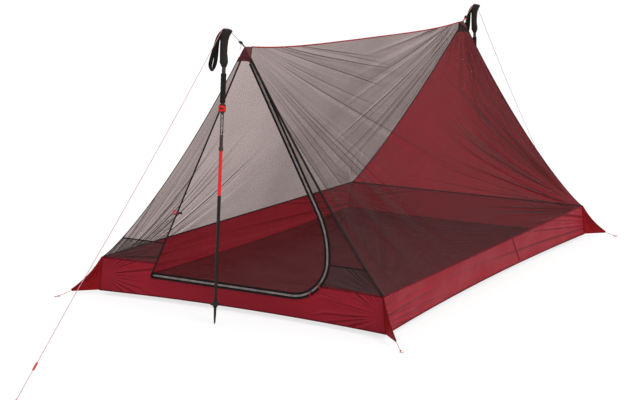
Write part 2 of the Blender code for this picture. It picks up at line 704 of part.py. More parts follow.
def make_door():
    plane = add_empty("door_plane", (0, DOOR_PLANE_Y, 0), (math.pi / 2 - DOOR_TILT, 0, 0))
    foot = in_plane((HINGE_FOOT_X, SILL_HEIGHT))
    hinge = add_empty("door_hinge", (foot.x, foot.y, 0), parent=plane)

    def from_hinge(places):
        return [in_plane(place) - foot for place in places]

    def hinge_side(height, inset):
        return Vector((hinge_x(height) + inset / HINGE_NORMAL.x, height))

    inner = zip_path(-ZIP_HALF_WIDTH - GAP, DOOR_TOP_HEIGHT)
    outline = [hinge_side(inner[0].y, HINGE_INSET)] + inner[1:] + [hinge_side(DOOR_TOP_HEIGHT, HINGE_INSET)]
    make_plate("door_panel", "mesh", [from_hinge(outline)], FABRIC, parent=hinge)

    coil_edge = zip_path(-GAP / 2, DOOR_TOP_HEIGHT)
    tape_edge = zip_path(-ZIP_HALF_WIDTH, DOOR_TOP_HEIGHT)
    coil_edge[0] = hinge_side(coil_edge[0].y, HINGE_INSET)
    tape_edge[0] = hinge_side(tape_edge[0].y, HINGE_INSET)
    make_plate("zip_tape_door", "zip", [from_hinge(coil_edge + tape_edge[::-1])], ZIP_THICKNESS, parent=hinge)

    coil_edge = zip_path(GAP / 2, DOOR_TOP_HEIGHT)
    hip_top = hip_share_below_peak(SHEET_END)
    beside_hip = [hip(1, -1, hip_top * row / HIP_ROWS) for row in range(STRIP_ROWS, HIP_ROWS)]
    beside_hip = [place for place in beside_hip if place.z < DOOR_TOP_HEIGHT] + [hip(1, -1, DOOR_TOP_SHARE)]
    tape_edge = zip_path(ZIP_HALF_WIDTH, beside_hip[0].z)
    tape_edge += [Vector((place.x - TAPE_INSET, place.z)) for place in beside_hip]
    frame_tape = [in_plane(place) for place in coil_edge + tape_edge[::-1]]
    make_plate("zip_tape_frame", "zip", [frame_tape], ZIP_THICKNESS, parent=plane)

    centre = in_plane((ZIP_FAR_X - ZIP_CORNER_RADIUS, SILL_HEIGHT + ZIP_CORNER_RADIUS))
    lift = ZIP_THICKNESS / 2 + GAP + SLIDER_THICKNESS / 2
    for word, angle in SLIDER_ANGLES.items():
        pivot = add_empty("zip_corner_" + word, (centre.x, centre.y, 0), parent=plane)
        body = [Vector(place) for place in rounded_box(SLIDER_WIDTH, SLIDER_LENGTH, SLIDER_WIDTH / 4)]
        turned = [Matrix.Rotation(angle, 2) @ place for place in body]
        middle = ZIP_CORNER_RADIUS * Vector((math.cos(angle), math.sin(angle)))
        slider = make_plate("zip_slider_" + word, "black", [[place + middle for place in turned]],
                            SLIDER_THICKNESS, parent=pivot, location=(0, 0, lift))
        side = 1 if word == "upper" else -1
        pull_top = middle + Vector((0, SLIDER_WIDTH / 4))
        lean = side * PULL_WIDTH / 2
        pull = [pull_top + Vector(place) for place in (
            (-PULL_WIDTH / 2, 0), (-PULL_WIDTH / 2 + lean, -PULL_LENGTH),
            (PULL_WIDTH / 2 + lean, -PULL_LENGTH), (PULL_WIDTH / 2, 0))]
        tab = make_plate("pull_" + word, "red_cord", [pull], SLIDER_THICKNESS / 2, pivot, (0, 0, lift))
        join_plates(slider, tab)
    return plane


def join_plates(first, second):
    """Makes two flat pieces one solid."""
    add_boolean(mesh_from_curve(first), as_cutter(mesh_from_curve(second)), 'UNION')


def mesh_from_curve(thing):
    """Replaces a curve object by a mesh object of the same name and place, with its caps welded."""
    bpy.context.view_layer.update()
    evaluated = thing.evaluated_get(bpy.context.evaluated_depsgraph_get())
    mesh = bpy.data.meshes.new_from_object(evaluated)
    mesh.materials.clear()
    mesh.materials.append(thing.data.materials[0])
    bm = bmesh.new()
    bm.from_mesh(mesh)
    bmesh.ops.remove_doubles(bm, verts=bm.verts, dist=GAP / 30)
    bm.to_mesh(mesh)
    bm.free()
    name = thing.name
    thing.name = name + "_curve"
    made = bpy.data.objects.new(name, mesh)
    made.parent = thing.parent
    made.location = thing.location
    made.rotation_euler = thing.rotation_euler
    parts.objects.link(made)
    bpy.data.objects.remove(thing, do_unlink=True)
    return made


def make_tieback(plane):
    seam = in_plane((hinge_x(TIEBACK_HEIGHT), TIEBACK_HEIGHT))
    lift = FABRIC / 2 + GAP
    loop_middle = seam - Vector((TIEBACK_LOOP_RADIUS + TIEBACK_CORD_RADIUS, 0))
    bm = bmesh.new()
    mesh = bpy.data.meshes.new("tieback_loop")
    steps, sides = 20, 8
    bmesh.ops.create_grid(bm, x_segments=steps, y_segments=sides, size=0.5)
    for vertex in bm.verts:
        around, across = (vertex.co.x + 0.5) * 2 * math.pi, (vertex.co.y + 0.5) * 2 * math.pi
        reach = TIEBACK_LOOP_RADIUS + TIEBACK_CORD_RADIUS * math.cos(across)
        lift_off = TIEBACK_CORD_RADIUS * math.sin(across)
        vertex.co = (reach * math.cos(around), reach * math.sin(around), lift_off)
    bmesh.ops.remove_doubles(bm, verts=bm.verts, dist=GAP / 30)
    bmesh.ops.recalc_face_normals(bm, faces=bm.faces)
    bm.to_mesh(mesh)
    bm.free()
    mesh.shade_smooth()
    place = (loop_middle.x, loop_middle.y, lift + TIEBACK_CORD_RADIUS)
    add_object("tieback_loop", mesh, "red_cord", plane, place)

    half = TOGGLE_LENGTH / 2
    profile = [(0, half)]
    for step in range(1, 5):
        angle = step / 4 * math.pi / 2
        height = half - TOGGLE_RADIUS + TOGGLE_RADIUS * math.cos(angle)
        profile.append((TOGGLE_RADIUS * math.sin(angle), height))
    profile += [(radius, -height) for radius, height in reversed(profile)]
    pivot = add_empty("toggle_hinge", (seam.x, seam.y, lift + TOGGLE_RADIUS), parent=plane)
    reach = TIEBACK_CORD_RADIUS + GAP + TOGGLE_LENGTH / 2
    make_turned("tieback_toggle", "black", profile, pivot, (reach, 0, 0), (0, math.pi / 2, 0), sides=10)


def make_corner_cords():
    for end, end_word in ((-1, "front"), (1, "rear")):
        for side, side_word in ((-1, "left"), (1, "right")):
            out = Vector((side, end, 0)).normalized()
            across = Vector((-out.y, out.x, 0))
            tip = gusset_tip(side, end)
            start = tip + out * (GAP + CORNER_CORD / 4) + Vector((0, 0, GUSSET_TIP / 2))
            run = CORNER_CORD_REACH - 2 * CORNER_EYE_RADIUS
            throat = Vector((start.x, start.y, CORNER_CORD / 2)) + out * run
            route = [start + (throat - start) * (step / 5) for step in range(6)]
            eye = throat + out * CORNER_EYE_RADIUS
            for step in range(1, 12):
                angle = math.pi + step / 12 * 2 * math.pi * EYE_TURN_SHARE
                route.append(eye + CORNER_EYE_RADIUS * (out * math.cos(angle) + across * math.sin(angle)))
            make_cord("corner_cord_%s_%s" % (end_word, side_word), "red_cord", route, CORNER_CORD)


# Poles

GRIP_FOOT = POLE_LENGTH - GRIP_LENGTH
FOAM_HEAD = GRIP_FOOT - GRIP_STAND
FOAM_FOOT = FOAM_HEAD - FOAM_LENGTH
CLAMP_HEAD = FOAM_FOOT - FOAM_STAND
CLAMP_FOOT = CLAMP_HEAD - CLAMP_LENGTH
COLLAR_HEAD = CLAMP_FOOT - MIDDLE_SHOWN
COLLAR_FOOT = COLLAR_HEAD - COLLAR_LENGTH
RED_FOOT = COLLAR_FOOT - RED_LENGTH
POLE_LEAN = math.asin((POLE_FOOT_REACH - POLE_HEAD_REACH) / POLE_LENGTH)


def pole_foot(end):
    lift = TIP_POINT_RADIUS * math.sin(POLE_LEAN)
    return Vector((0, end * (FLOOR_LENGTH / 2 + POLE_FOOT_REACH), lift))


def pole_head(end):
    return pole_foot(end) + POLE_LENGTH * Vector((0, -end * math.sin(POLE_LEAN), math.cos(POLE_LEAN)))


def make_grip(name, frame):
    sides = 18
    mesh = bpy.data.meshes.new(name)
    bm = bmesh.new()
    rows = len(GRIP_RING_SHARES) - 1
    bmesh.ops.create_grid(bm, x_segments=sides, y_segments=rows, size=0.5)
    for vertex in bm.verts:
        around = (vertex.co.x + 0.5) * 2 * math.pi
        height, middle, half_width, half_depth = GRIP_RING_SHARES[round((vertex.co.y + 0.5) * rows)]
        vertex.co = (GRIP_RADIUS * (middle + half_width * math.cos(around)),
                     GRIP_RADIUS * half_depth * math.sin(around), GRIP_FOOT + GRIP_LENGTH * height)
    bmesh.ops.remove_doubles(bm, verts=bm.verts, dist=GAP / 30)
    rims = [edge for edge in bm.edges if edge.is_boundary]
    bmesh.ops.holes_fill(bm, edges=rims, sides=sides + 1)
    bmesh.ops.recalc_face_normals(bm, faces=bm.faces)
    bm.to_mesh(mesh)
    bm.free()
    mesh.shade_smooth()
    grip = add_object(name, mesh, "grip", frame)
    socket = make_turned(name + "_socket", "grip", [
        (0, GRIP_FOOT + GRIP_SOCKET + GAP), (UPPER_RADIUS + GAP, GRIP_FOOT + GRIP_SOCKET + GAP),
        (UPPER_RADIUS + GAP, GRIP_FOOT - OVERRUN), (0, GRIP_FOOT - OVERRUN)], frame)
    add_boolean(grip, as_cutter(socket), 'DIFFERENCE')


def foam_profile():
    profile = []
    pitch = FOAM_LENGTH / FOAM_RIBS
    for rib in range(FOAM_RIBS):
        top = FOAM_HEAD - rib * pitch
        profile += [(FOAM_RADIUS - FOAM_GROOVE, top), (FOAM_RADIUS, top - pitch / 4),
                    (FOAM_RADIUS, top - pitch * 3 / 4)]
    bore = UPPER_RADIUS + GAP
    return profile + [(FOAM_RADIUS - FOAM_GROOVE, FOAM_FOOT), (bore, FOAM_FOOT), (bore, FOAM_HEAD)]


def make_strap(name, frame):
    top = POLE_LENGTH - STRAP_TOP_BELOW_HEAD
    outer_face = -GRIP_RADIUS * max(half_width - middle for _, middle, half_width, _ in GRIP_RING_SHARES)
    hinge_place = (outer_face - GAP - STRAP_THICKNESS / 2, 0, top)
    hinge = add_empty(name + "_hinge", hinge_place, (math.pi / 2, 0, 0), frame)
    route = smooth_through([Vector(share) * STRAP_DROP for share in STRAP_ROUTE_SHARES], 3, closed=True)
    count = len(route)
    loops = []
    for half in (STRAP_THICKNESS / 2, -STRAP_THICKNESS / 2):
        loop = []
        for index in range(count):
            along = (route[(index + 1) % count] - route[index - 1]).normalized()
            loop.append(route[index] + half * Vector((-along.y, along.x)))
        loops.append(loop)
    make_plate(name, "black", loops, STRAP_WIDTH, parent=hinge)


def make_clamp(word, frame):
    outer, lip = UPPER_RADIUS + GAP, MIDDLE_RADIUS + GAP
    shoulder, neck = CLAMP_FOOT + CLAMP_LIP, CLAMP_RADIUS * CLAMP_NECK_SHARE
    clamp = make_turned(word + "_pole_clamp", "black", [
        (outer, CLAMP_HEAD), (neck, CLAMP_HEAD), (CLAMP_RADIUS, CLAMP_HEAD - CLAMP_LIP),
        (CLAMP_RADIUS, shoulder), (neck, CLAMP_FOOT), (lip, CLAMP_FOOT), (lip, shoulder),
        (outer, shoulder)], frame)
    middle = (CLAMP_HEAD + CLAMP_FOOT) / 2
    reach = CLAMP_RADIUS + GAP + LEVER_BARREL_RADIUS
    place = (reach * math.cos(LEVER_PIN_ANGLE), reach * math.sin(LEVER_PIN_ANGLE))
    barrel_width = 2 * LEVER_BARREL_RADIUS
    for direction in (-1, 1):
        height = middle + direction * (LEVER_HEIGHT / 2 + GAP + EAR_THICKNESS / 2)
        outline = rounded_box(2 * barrel_width, barrel_width, LEVER_BARREL_RADIUS * EAR_CORNER_SHARE)
        shifted = [(x - LEVER_BARREL_RADIUS, y) for x, y in outline]
        ear = make_plate("ear", "black", [shifted], EAR_THICKNESS, frame, (*place, height),
                         (0, 0, LEVER_PIN_ANGLE))
        add_boolean(clamp, as_cutter(mesh_from_curve(ear)), 'UNION')
    hole_radius, hole_head, hole_foot = LEVER_PIN_RADIUS + GAP, CLAMP_HEAD + OVERRUN, CLAMP_FOOT - OVERRUN
    hole = make_turned("pin_hole", "black", [
        (0, hole_head), (hole_radius, hole_head), (hole_radius, hole_foot), (0, hole_foot)],
        frame, (*place, 0), sides=10)
    add_boolean(clamp, as_cutter(hole), 'DIFFERENCE')

    hinge = add_empty(word + "_lever_hinge", (*place, middle), parent=frame)
    radius = CLAMP_RADIUS + GAP + LEVER_THICKNESS / 2
    start = LEVER_PIN_ANGLE - math.asin(LEVER_BARREL_RADIUS / 2 / radius)

    def arc(height):
        def edge(share):
            angle = start - share * LEVER_SWEEP
            return Vector((radius * math.cos(angle) - place[0], radius * math.sin(angle) - place[1], height))
        return edge

    low, high = arc(-LEVER_HEIGHT / 2), arc(LEVER_HEIGHT / 2)
    edges = (low, high, line(low(0), high(0)), line(low(1), high(1)))
    lever = make_sheet(word + "_pole_lever", "lever_red", edges, 14, 1, (0, 0, 0, 0), LEVER_THICKNESS,
                       parent=hinge)
    pin_end = LEVER_HEIGHT / 2 + EAR_THICKNESS
    barrel = make_turned("barrel", "lever_red", [
        (0, pin_end), (LEVER_PIN_RADIUS, pin_end), (LEVER_PIN_RADIUS, LEVER_HEIGHT / 2),
        (LEVER_BARREL_RADIUS, LEVER_HEIGHT / 2), (LEVER_BARREL_RADIUS, -LEVER_HEIGHT / 2),
        (LEVER_PIN_RADIUS, -LEVER_HEIGHT / 2), (LEVER_PIN_RADIUS, -pin_end), (0, -pin_end)], hinge, sides=12)
    add_boolean(lever, as_cutter(barrel), 'UNION')


def make_pole(word, end):
    tilt = Matrix.Rotation(end * POLE_LEAN, 3, 'X') @ Matrix.Rotation(POLE_TURN, 3, 'Z')
    frame = add_empty(word + "_pole_frame", pole_foot(end), tilt.to_euler())
    slide = add_empty(word + "_pole_slide", (0, 0, 0), parent=frame)
    name = word + "_pole_"

    inside = UPPER_RADIUS - UPPER_WALL
    tube_head, tube_foot = GRIP_FOOT + GRIP_SOCKET, CLAMP_FOOT + CLAMP_LIP + GAP
    make_turned(name + "upper_tube", "tube", [
        (inside, tube_head), (UPPER_RADIUS, tube_head), (UPPER_RADIUS, tube_foot), (inside, tube_foot)],
        frame)
    make_turned(name + "foam_sleeve", "foam", foam_profile(), frame)
    make_grip(name + "grip", frame)
    make_strap(name + "wrist_strap", frame)
    make_clamp(word, frame)

    middle_head = CLAMP_FOOT + MIDDLE_HIDDEN
    chamfer = COLLAR_RADIUS - MIDDLE_RADIUS
    make_turned(name + "middle_shaft", "tube", [
        (0, middle_head), (MIDDLE_RADIUS, middle_head), (MIDDLE_RADIUS, COLLAR_HEAD),
        (COLLAR_RADIUS, COLLAR_HEAD - chamfer), (COLLAR_RADIUS, COLLAR_FOOT + chamfer / 2),
        (COLLAR_RADIUS - chamfer / 2, COLLAR_FOOT), (0, COLLAR_FOOT)], slide)
    make_turned(name + "red_section", "red_tube", [
        (0, COLLAR_FOOT - GAP), (RED_RADIUS, COLLAR_FOOT - GAP), (RED_RADIUS, RED_FOOT), (0, RED_FOOT)],
        slide)
    make_turned(name + "lower_section", "black", [
        (0, RED_FOOT - GAP), (LOWER_HEAD_RADIUS, RED_FOOT - GAP), (LOWER_FOOT_RADIUS, TIP_LENGTH + GAP),
        (0, TIP_LENGTH + GAP)], slide)
    taper = (LOWER_HEAD_RADIUS - LOWER_FOOT_RADIUS) / (RED_FOOT - TIP_LENGTH)
    bore = LOWER_FOOT_RADIUS + taper * BASKET_HEIGHT + GAP
    foot = TIP_LENGTH + GAP
    side = [(BASKET_HUB_RADIUS + share * (BASKET_RADIUS - BASKET_HUB_RADIUS), foot + height * BASKET_HEIGHT)
            for share, height in BASKET_SIDE_SHARES]
    make_turned(name + "basket", "black", [(bore, foot + BASKET_HEIGHT)] + side + [(bore, foot)], slide)
    neck_radius, neck_height = TIP_RADIUS * TIP_NECK_SHARES[0], TIP_LENGTH * TIP_NECK_SHARES[1]
    make_turned(name + "tip", "black", [
        (0, TIP_LENGTH), (TIP_RADIUS, TIP_LENGTH), (neck_radius, neck_height),
        (TIP_RADIUS * TIP_SHOULDER_SHARE, TIP_POINT_LENGTH), (TIP_POINT_RADIUS, TIP_POINT_LENGTH),
        (TIP_POINT_RADIUS, 0), (0, 0)], slide)


def make_peak_hardware(word, end):
    """The red tab at the peak, its buckle, and the guyline from there over the pole's head to the ground."""
    top = pole_head(end)
    place, outward = patch_top(end)
    apex = place + outward * (TAB_DIAMETER / 3 + GAP)
    saddle = top + Vector((0, 0, GUYLINE / 2 + 4 * GAP))
    out = Vector((0, end, 0))
    drop = Vector((0, 0, GUY_SHOULDER_DROP))
    inner_shoulder = saddle - out * GUY_SHOULDER - drop
    slope = (inner_shoulder - apex).normalized()
    tab_end = apex + slope * TAB_LENGTH
    lock_end = tab_end + slope * (LOCK_LENGTH + 2 * GAP)
    tab_points = [apex.lerp(tab_end, step / 4) for step in range(5)]
    make_cord("peak_tab_" + word, "red_cord", tab_points, TAB_DIAMETER)

    lock_middle = tab_end + slope * (LOCK_LENGTH / 2 + GAP)
    pitch = math.atan2(slope.z, end * slope.y)
    outline = rounded_box(LOCK_WIDTH, LOCK_LENGTH, LOCK_WIDTH / 4)
    make_plate("line_lock_" + word, "black", [outline], LOCK_THICKNESS, None, lock_middle,
               (pitch if end > 0 else math.pi - pitch, 0, 0))

    eye = guy_eye(end)
    shoulder = saddle + out * GUY_SHOULDER - drop
    along = (shoulder - eye).normalized()
    line_end = eye + along * (GUY_EYE_RADIUS + GUY_KNOT_RADIUS * 2 + GAP)
    straight_top = line_end + along * STRAIGHT_RUN
    before, after = inner_shoulder - slope * GUY_SHOULDER, shoulder - along * GUY_SHOULDER
    hanging = bowed_line(after, straight_top, Vector((0, 0, -GUY_SAG)))
    points = [lock_end.lerp(before, step / 2) for step in range(2)]
    points += smooth_through([before, inner_shoulder, saddle, shoulder, after], 3)[:-1]
    points += [hanging(step / 14) for step in range(15)]
    points += [straight_top.lerp(line_end, step / 3) for step in (1, 2, 3)]
    make_cord("guyline_" + word, "red_cord", points, GUYLINE)

    pitch = math.asin(along.z)
    lean = (math.pi / 2 - pitch) * end
    half = TENSIONER_LENGTH / 2
    neck, shank = TENSIONER_RADIUS * TENSIONER_NECK_SHARE, half * TENSIONER_NECK_SHARE
    rest = eye + along * (TENSIONER_STAND + half)
    slide = add_empty("tensioner_slide_" + word, rest, (lean, 0, 0))
    make_turned("tensioner_" + word, "red_cord", [
        (TENSIONER_BORE, half), (neck, half), (TENSIONER_RADIUS, shank), (TENSIONER_RADIUS, -shank),
        (neck, -half), (TENSIONER_BORE, -half)], slide, sides=10)
    make_guy_loop(word, eye, lean)


def guy_eye(end):
    """The middle of the loop at the guyline's end, which lies on the ground."""
    fall = pole_head(end).z / (GUY_REACH - POLE_HEAD_REACH)
    rise = (GUY_EYE_RADIUS + GUYLINE / 2) * fall / math.sqrt(1 + fall ** 2) + GUYLINE / 2
    return Vector((0, end * (FLOOR_LENGTH / 2 + GUY_REACH), rise))


def make_guy_loop(word, eye, lean):
    frame = add_empty("guy_loop_frame_" + word, eye, (lean, 0, 0))
    points = []
    for step in range(15):
        angle = math.pi / 2 + step / 14 * 2 * math.pi * LOOP_TURN_SHARE
        points.append(GUY_EYE_RADIUS * Vector((math.cos(angle), 0, math.sin(angle))))
    loop = mesh_from_curve(make_cord("guy_loop_" + word, "red_cord", points, GUYLINE, frame))
    mesh = bpy.data.meshes.new("knot")
    bm = bmesh.new()
    bmesh.ops.create_uvsphere(bm, u_segments=10, v_segments=6, radius=GUY_KNOT_RADIUS)
    bm.to_mesh(mesh)
    bm.free()
    seat = GUY_EYE_RADIUS + GUY_KNOT_RADIUS * KNOT_SEAT_SHARE
    knot = add_object("knot", mesh, "red_cord", frame, (0, 0, seat))
    add_boolean(loop, as_cutter(knot), 'UNION')


def main():
    clear_scene()
    make_collections()
    make_floor()
    make_walls()
    make_gussets()
    make_roof()
    make_ridge_piping()
    make_front_mesh()
    make_rear_wall()
    make_peak_patches()
    plane = make_door()
    make_tieback(plane)
    make_corner_cords()
    for word, end in (("front", -1), ("rear", 1)):
        make_pole(word, end)
        make_peak_hardware(word, end)


main()
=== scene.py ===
"""Looks of the trekking pole tent: sheer mesh, coated cloth, seams, zip, cords and the two trekking poles."""
import math

import bmesh
import bpy
from mathutils import Matrix, Vector, noise


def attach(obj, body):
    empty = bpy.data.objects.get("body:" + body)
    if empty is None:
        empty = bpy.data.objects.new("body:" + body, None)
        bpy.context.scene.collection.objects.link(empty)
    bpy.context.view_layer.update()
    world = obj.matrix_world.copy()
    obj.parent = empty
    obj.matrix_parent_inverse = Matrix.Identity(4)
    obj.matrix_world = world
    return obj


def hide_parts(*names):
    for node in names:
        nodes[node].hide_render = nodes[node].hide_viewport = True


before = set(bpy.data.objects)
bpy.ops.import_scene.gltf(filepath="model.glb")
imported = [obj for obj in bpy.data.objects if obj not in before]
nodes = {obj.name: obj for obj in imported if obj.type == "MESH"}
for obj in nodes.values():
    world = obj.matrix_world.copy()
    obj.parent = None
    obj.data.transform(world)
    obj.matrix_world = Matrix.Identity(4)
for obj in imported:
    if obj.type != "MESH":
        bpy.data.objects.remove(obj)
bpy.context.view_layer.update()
scene = bpy.context.scene

ENDS = (("front", -1), ("rear", 1))
SIDES = (("left", -1), ("right", 1))
RIGHT, BACK, UP = Vector((1, 0, 0)), Vector((0, 1, 0)), Vector((0, 0, 1))

# The camera, at the photograph's viewing angle, in radians
AZIMUTH, ELEVATION, ROLL = 0.5011, 0.1792, 0.0139
CAMERA_PLACE = (2.9537, -5.8038, 1.4588)
LENS, SENSOR, VIEW_END = 85.59, 36, 100

# Light. The sky and the ground are white where they are seen, and light the tent a little less.
SKY_LIGHT, SKY_SEEN = 0.72, 1.0
SUN_POWER, SUN_BLUR, SUN_PLACE = 1.5, math.radians(30), (0.70, -0.30, 0.66)
GROUND_COLOUR, GROUND_GLOW = (0.30, 0.30, 0.30, 1), 0.74
GROUND_SIZE, GROUND_DROP = 40, 0.0005

# The tent body, as in the solids. These and all other lengths are in metres.
RIM_X, RIM_Y, RIM_Z = 0.620, 1.062, 0.154
HEM_X, HEM_Y, HEM_Z = 0.635, 1.065, 0.020
HEM_BOW_END, HEM_BOW_SIDE = 0.045, 0.035
PEAK_Y, PEAK_Z = 1.007, 1.012
HIP_SAG_ACROSS, HIP_SAG_ALONG, HIP_SAG_SKEW = 0.040, 0.028, 0.75
RIDGE_SAG, PIPING_RADIUS = 0.027, 0.0026
HIP_OUT, SIDE_RIM_LIFT = (0.75, 0.55, 0.45), 0.3      # how the seams at the hips and side rims face
GUSSET_REACH, GUSSET_LIFT, GUSSET_SAG = 0.078, 0.004, 0.006
GUSSET_FOOT_HALF, GUSSET_HEAD_SHARE, GUSSET_TIP_SHARE = 0.0022, 0.4, 0.2     # its two layers, apart
SEAM_GAP, ZIP_GAP = 0.001, 0.0005       # between the cloth and the door's hinge seam, and the zip
CROSS_SEAM = 0.083          # above the rim, where the finer mesh at the front corners ends
FRONT_RIGHT_HEAD = 0.735    # share of the hip where the mesh beside the zip ends
NOTCH_COLUMNS = (24, 6, 20)     # of the front wall: left of the door, down to its sill, and on from there
NOTCH_SPREAD, NOTCH_STEP, NOTCH_REST = 0.0724, 0.06, 0.012      # how far these columns lean
FLOOR_SKIN, FLOOR_CLIMB, FLOOR_RIPPLE = 0.0006, 0.110, 0.004
FLOOR_RIPPLES = [(7, 3.0, 1.0), (17, 8.0, 0.5)]
WALL_SEAM_HEAD, WALL_SEAM_FOOT = Vector((0.580, 0.97)), Vector((0.645, 0.05))   # shares of length and height
WALL_SEAM_STAND = 0.0012

# The patches over the peaks
PATCH_REACH, PATCH_DROP, PATCH_BULGE, PATCH_TOP_SHARE, PATCH_THICKNESS = 0.0525, 0.004, 0.0012, 0.076, 0.0012
PATCH_HOLE, SAME_PLACE = 0.020, 0.00005     # how far the hole at a patch's top is above its rim's middle
SKIRT_LENGTH, SKIRT_ARCH, SKIRT_STAND = 0.022, 0.007, 0.001

# The door and its zip, in the door's plane
SILL_Z, SILL_INSET = 0.105, 0.017
DOOR_TOP_Z, DOOR_TOP_INSET = 0.958, 0.060
HINGE_FOOT_X, HINGE_TOP_X = -0.397, -0.019
HINGE_SEAM_ENDS, HINGE_SEAM_STAND = (0.100, 0.962), 0.0012
DOOR_RIPPLES, DOOR_RIPPLE, DOOR_FADE = [(4, 60.0, 1.0), (9, 61.0, 0.5)], 0.003, 0.08
ZIP_FAR_X, ZIP_CORNER, ZIP_BEND, ZIP_LEAN = 0.378, 0.145, 0.360, math.radians(30.0)
ZIP_HALF, ZIP_SPLIT, ZIP_STEPS, TAPE_THICKNESS = 0.008, 0.0003, 24, 0.0010
COIL_OFFSET, COIL_STAND, COIL_START = 0.0019, 0.0018, 0.35      # start: share of the path's first step
ZIP_BINDING_OFFSET, ZIP_BINDING_STAND, ZIP_BINDING_TOP, ZIP_BINDING_CLEAR = 0.0098, 0.0010, 0.010, 0.004
FRAME_BINDING_HEAD = 0.88
SLIDER_ANGLES = {"upper": math.radians(-36.0), "lower": math.radians(-56.0)}
SLIDER_HALF, SLIDER_STAND, SLIDER_TAPER = 0.0065, 0.0042, 0.35
BRIDGE_HALF, BRIDGE_STAND, BRIDGE_RISE = 0.0045, 0.0052, 0.0022
PULL_ROUTE = [(0.0068, 0, 0.0010), (0.0066, 0.0004, 0.008), (0.0056, 0.0012, 0.015), (0.0046, 0.0018, 0.0225)]

# The tieback beside the door
TIEBACK_Z, TIEBACK_LOOP, TIEBACK_SQUASH, TIEBACK_ASIDE, TIEBACK_STAND = 0.362, 0.0078, 0.8, 0.0102, 0.0019
TIEBACK_CORD, TIEBACK_KNOT_CORD = 0.0028, 0.0018        # radii
TIEBACK_KNOT_ASIDE, TIEBACK_KNOT = 0.0085, (0.002, 0.003, 0.0015)       # its swings to the right, up and out
TOGGLE_LENGTH, TOGGLE_RADIUS, TOGGLE_START, TOGGLE_STAND = 0.024, 0.0044, 0.0015, 0.0050
TOGGLE_STEPS, TOGGLE_SIDES, TOGGLE_WAIST, TOGGLE_WAIST_HALF, TOGGLE_END = 24, 14, 0.86, 0.07, 0.75

# Cords, buckles and tensioners
GUYLINE, CORNER_CORD = 0.0020, 0.0022
GUY_REACH, GUY_SAG, GUY_STRAIGHT = 1.270, 0.012, 0.420      # the tensioner slides on the straight part
GUY_EYE_LIFT, GUY_LOOP, GUY_NECK, CORD_GAP = (0.009, 0.001), 0.008, 0.006, 0.0003
HEAD_STAND, SADDLE_BEND, SADDLE_DROP = 0.0022, 0.016, 0.0015
TAB_STAND, TAB_LENGTH, LOCK_LENGTH = 0.0013, 0.024, 0.018
HARDWARE_STUFF = {"line_lock_": "plastic", "tensioner_": "tensioner", "guy_loop_": "red_line"}
LOCK_BAR_STAND, LOCK_BAR_PLACES = 0.0030, (-0.0058, -0.003, 0.0, 0.003, 0.0058)
TAIL_ROUTE = [(0.002, 0.003), (0.006, 0.008), (0.010, 0.018), (0.008, 0.026)]  # back and down from the buckle
CORNER_LIFT, CORNER_LENGTH, CORNER_LOOP, CORNER_TURN = 0.002, 0.054, 0.006, 0.86
KNOT_TURNS, KNOT_RADIUS, KNOT_PITCH, KNOT_START, KNOT_LIFT = 2.5, 0.0019, 0.0030, 0.009, 0.0015

# The poles
POLE_LENGTH, POLE_FOOT_Y, POLE_HEAD_STAND, POLE_POINT = 1.086, 1.209, 0.075, 0.0015
POLE_LEAN, POLE_TURN = math.asin(0.069 / POLE_LENGTH), math.radians(30.0)
POLE_STUFF = {"upper_tube": "dark_tube", "middle_shaft": "dark_tube", "red_section": "red_tube",
              "lower_section": "black_tube", "basket": "plastic", "tip": "plastic", "grip": "rubber",
              "foam_sleeve": "foam", "clamp": "plastic", "lever": "lever"}
SCALE_SKIN, LEVER_SKIN = 0.0062 + 0.00015, 0.0152 + 0.0003       # just outside the shaft and the lever
SCALE_HEAD, SCALE_PITCH, SCALE_MARKS, LONG_MARK = 0.774, 0.005, 15, 5       # every fifth mark is long
MARK_HALF, LONG_MARK_TURN, SHORT_MARK_TURN = 0.0008, 0.75, 0.40
# The lever's slot is a dark band on its skin, which is painted shade
LEVER_SLOT_SHADE = (0.7985, 0.0023, math.radians(-128), math.radians(-74))        # a band for bands_on_tube
STRAP_HINGE, STRAP_WIDTH, STRAP_THICKNESS = (-0.01846, 0, 1.0710), 0.0145, 0.0018
STRAP_TURN = (0.36, 0.28)       # share of its run where its half turn starts, and how long it is
STRAP_ROUTE = [(0.0110, -0.001, 0.006), (-0.0050, -0.002, -0.016), (-0.0165, -0.003, -0.055),
               (-0.0265, -0.003, -0.092), (-0.0310, -0.002, -0.120), (-0.0245, 0.0, -0.1395),
               (-0.0165, 0.002, -0.120), (-0.0115, 0.003, -0.092), (-0.0095, 0.003, -0.058),
               (-0.0060, 0.002, -0.024), (0.0100, 0.001, 0.003)]

# Bindings and other swept pieces: half of the width and half of the thickness
HIP_BINDING, ZIP_SIDE_BINDING, HINGE_BINDING = (0.0024, 0.0014), (0.0045, 0.0014), (0.0034, 0.0009)
CORNER_SEAM, HEM_BINDING, SIDE_SEAM = (0.0030, 0.0012), (0.0030, 0.0018), (0.0016, 0.0006)
CROSS_BINDING, PATCH_HEM, GUSSET_EDGE = (0.0026, 0.0009), (0.0022, 0.0009), (0.0045, 0.0008)
REAR_RIM, FRONT_RIM, SIDE_RIM = (0.0036, 0.0012), (0.0034, 0.0010), (0.0030, 0.0012)
COIL, ZIP_BINDING = (0.0018, 0.0011), (0.0028, 0.0007)
SLIDER_BODY, SLIDER_BRIDGE, SLIDER_PULL = (0.0047, 0.0014), (0.0012, 0.0005), (0.0026, 0.0008)
TAB_WEBBING, LOCK_BAR = (0.0036, 0.0009), (0.0022, 0.0010)

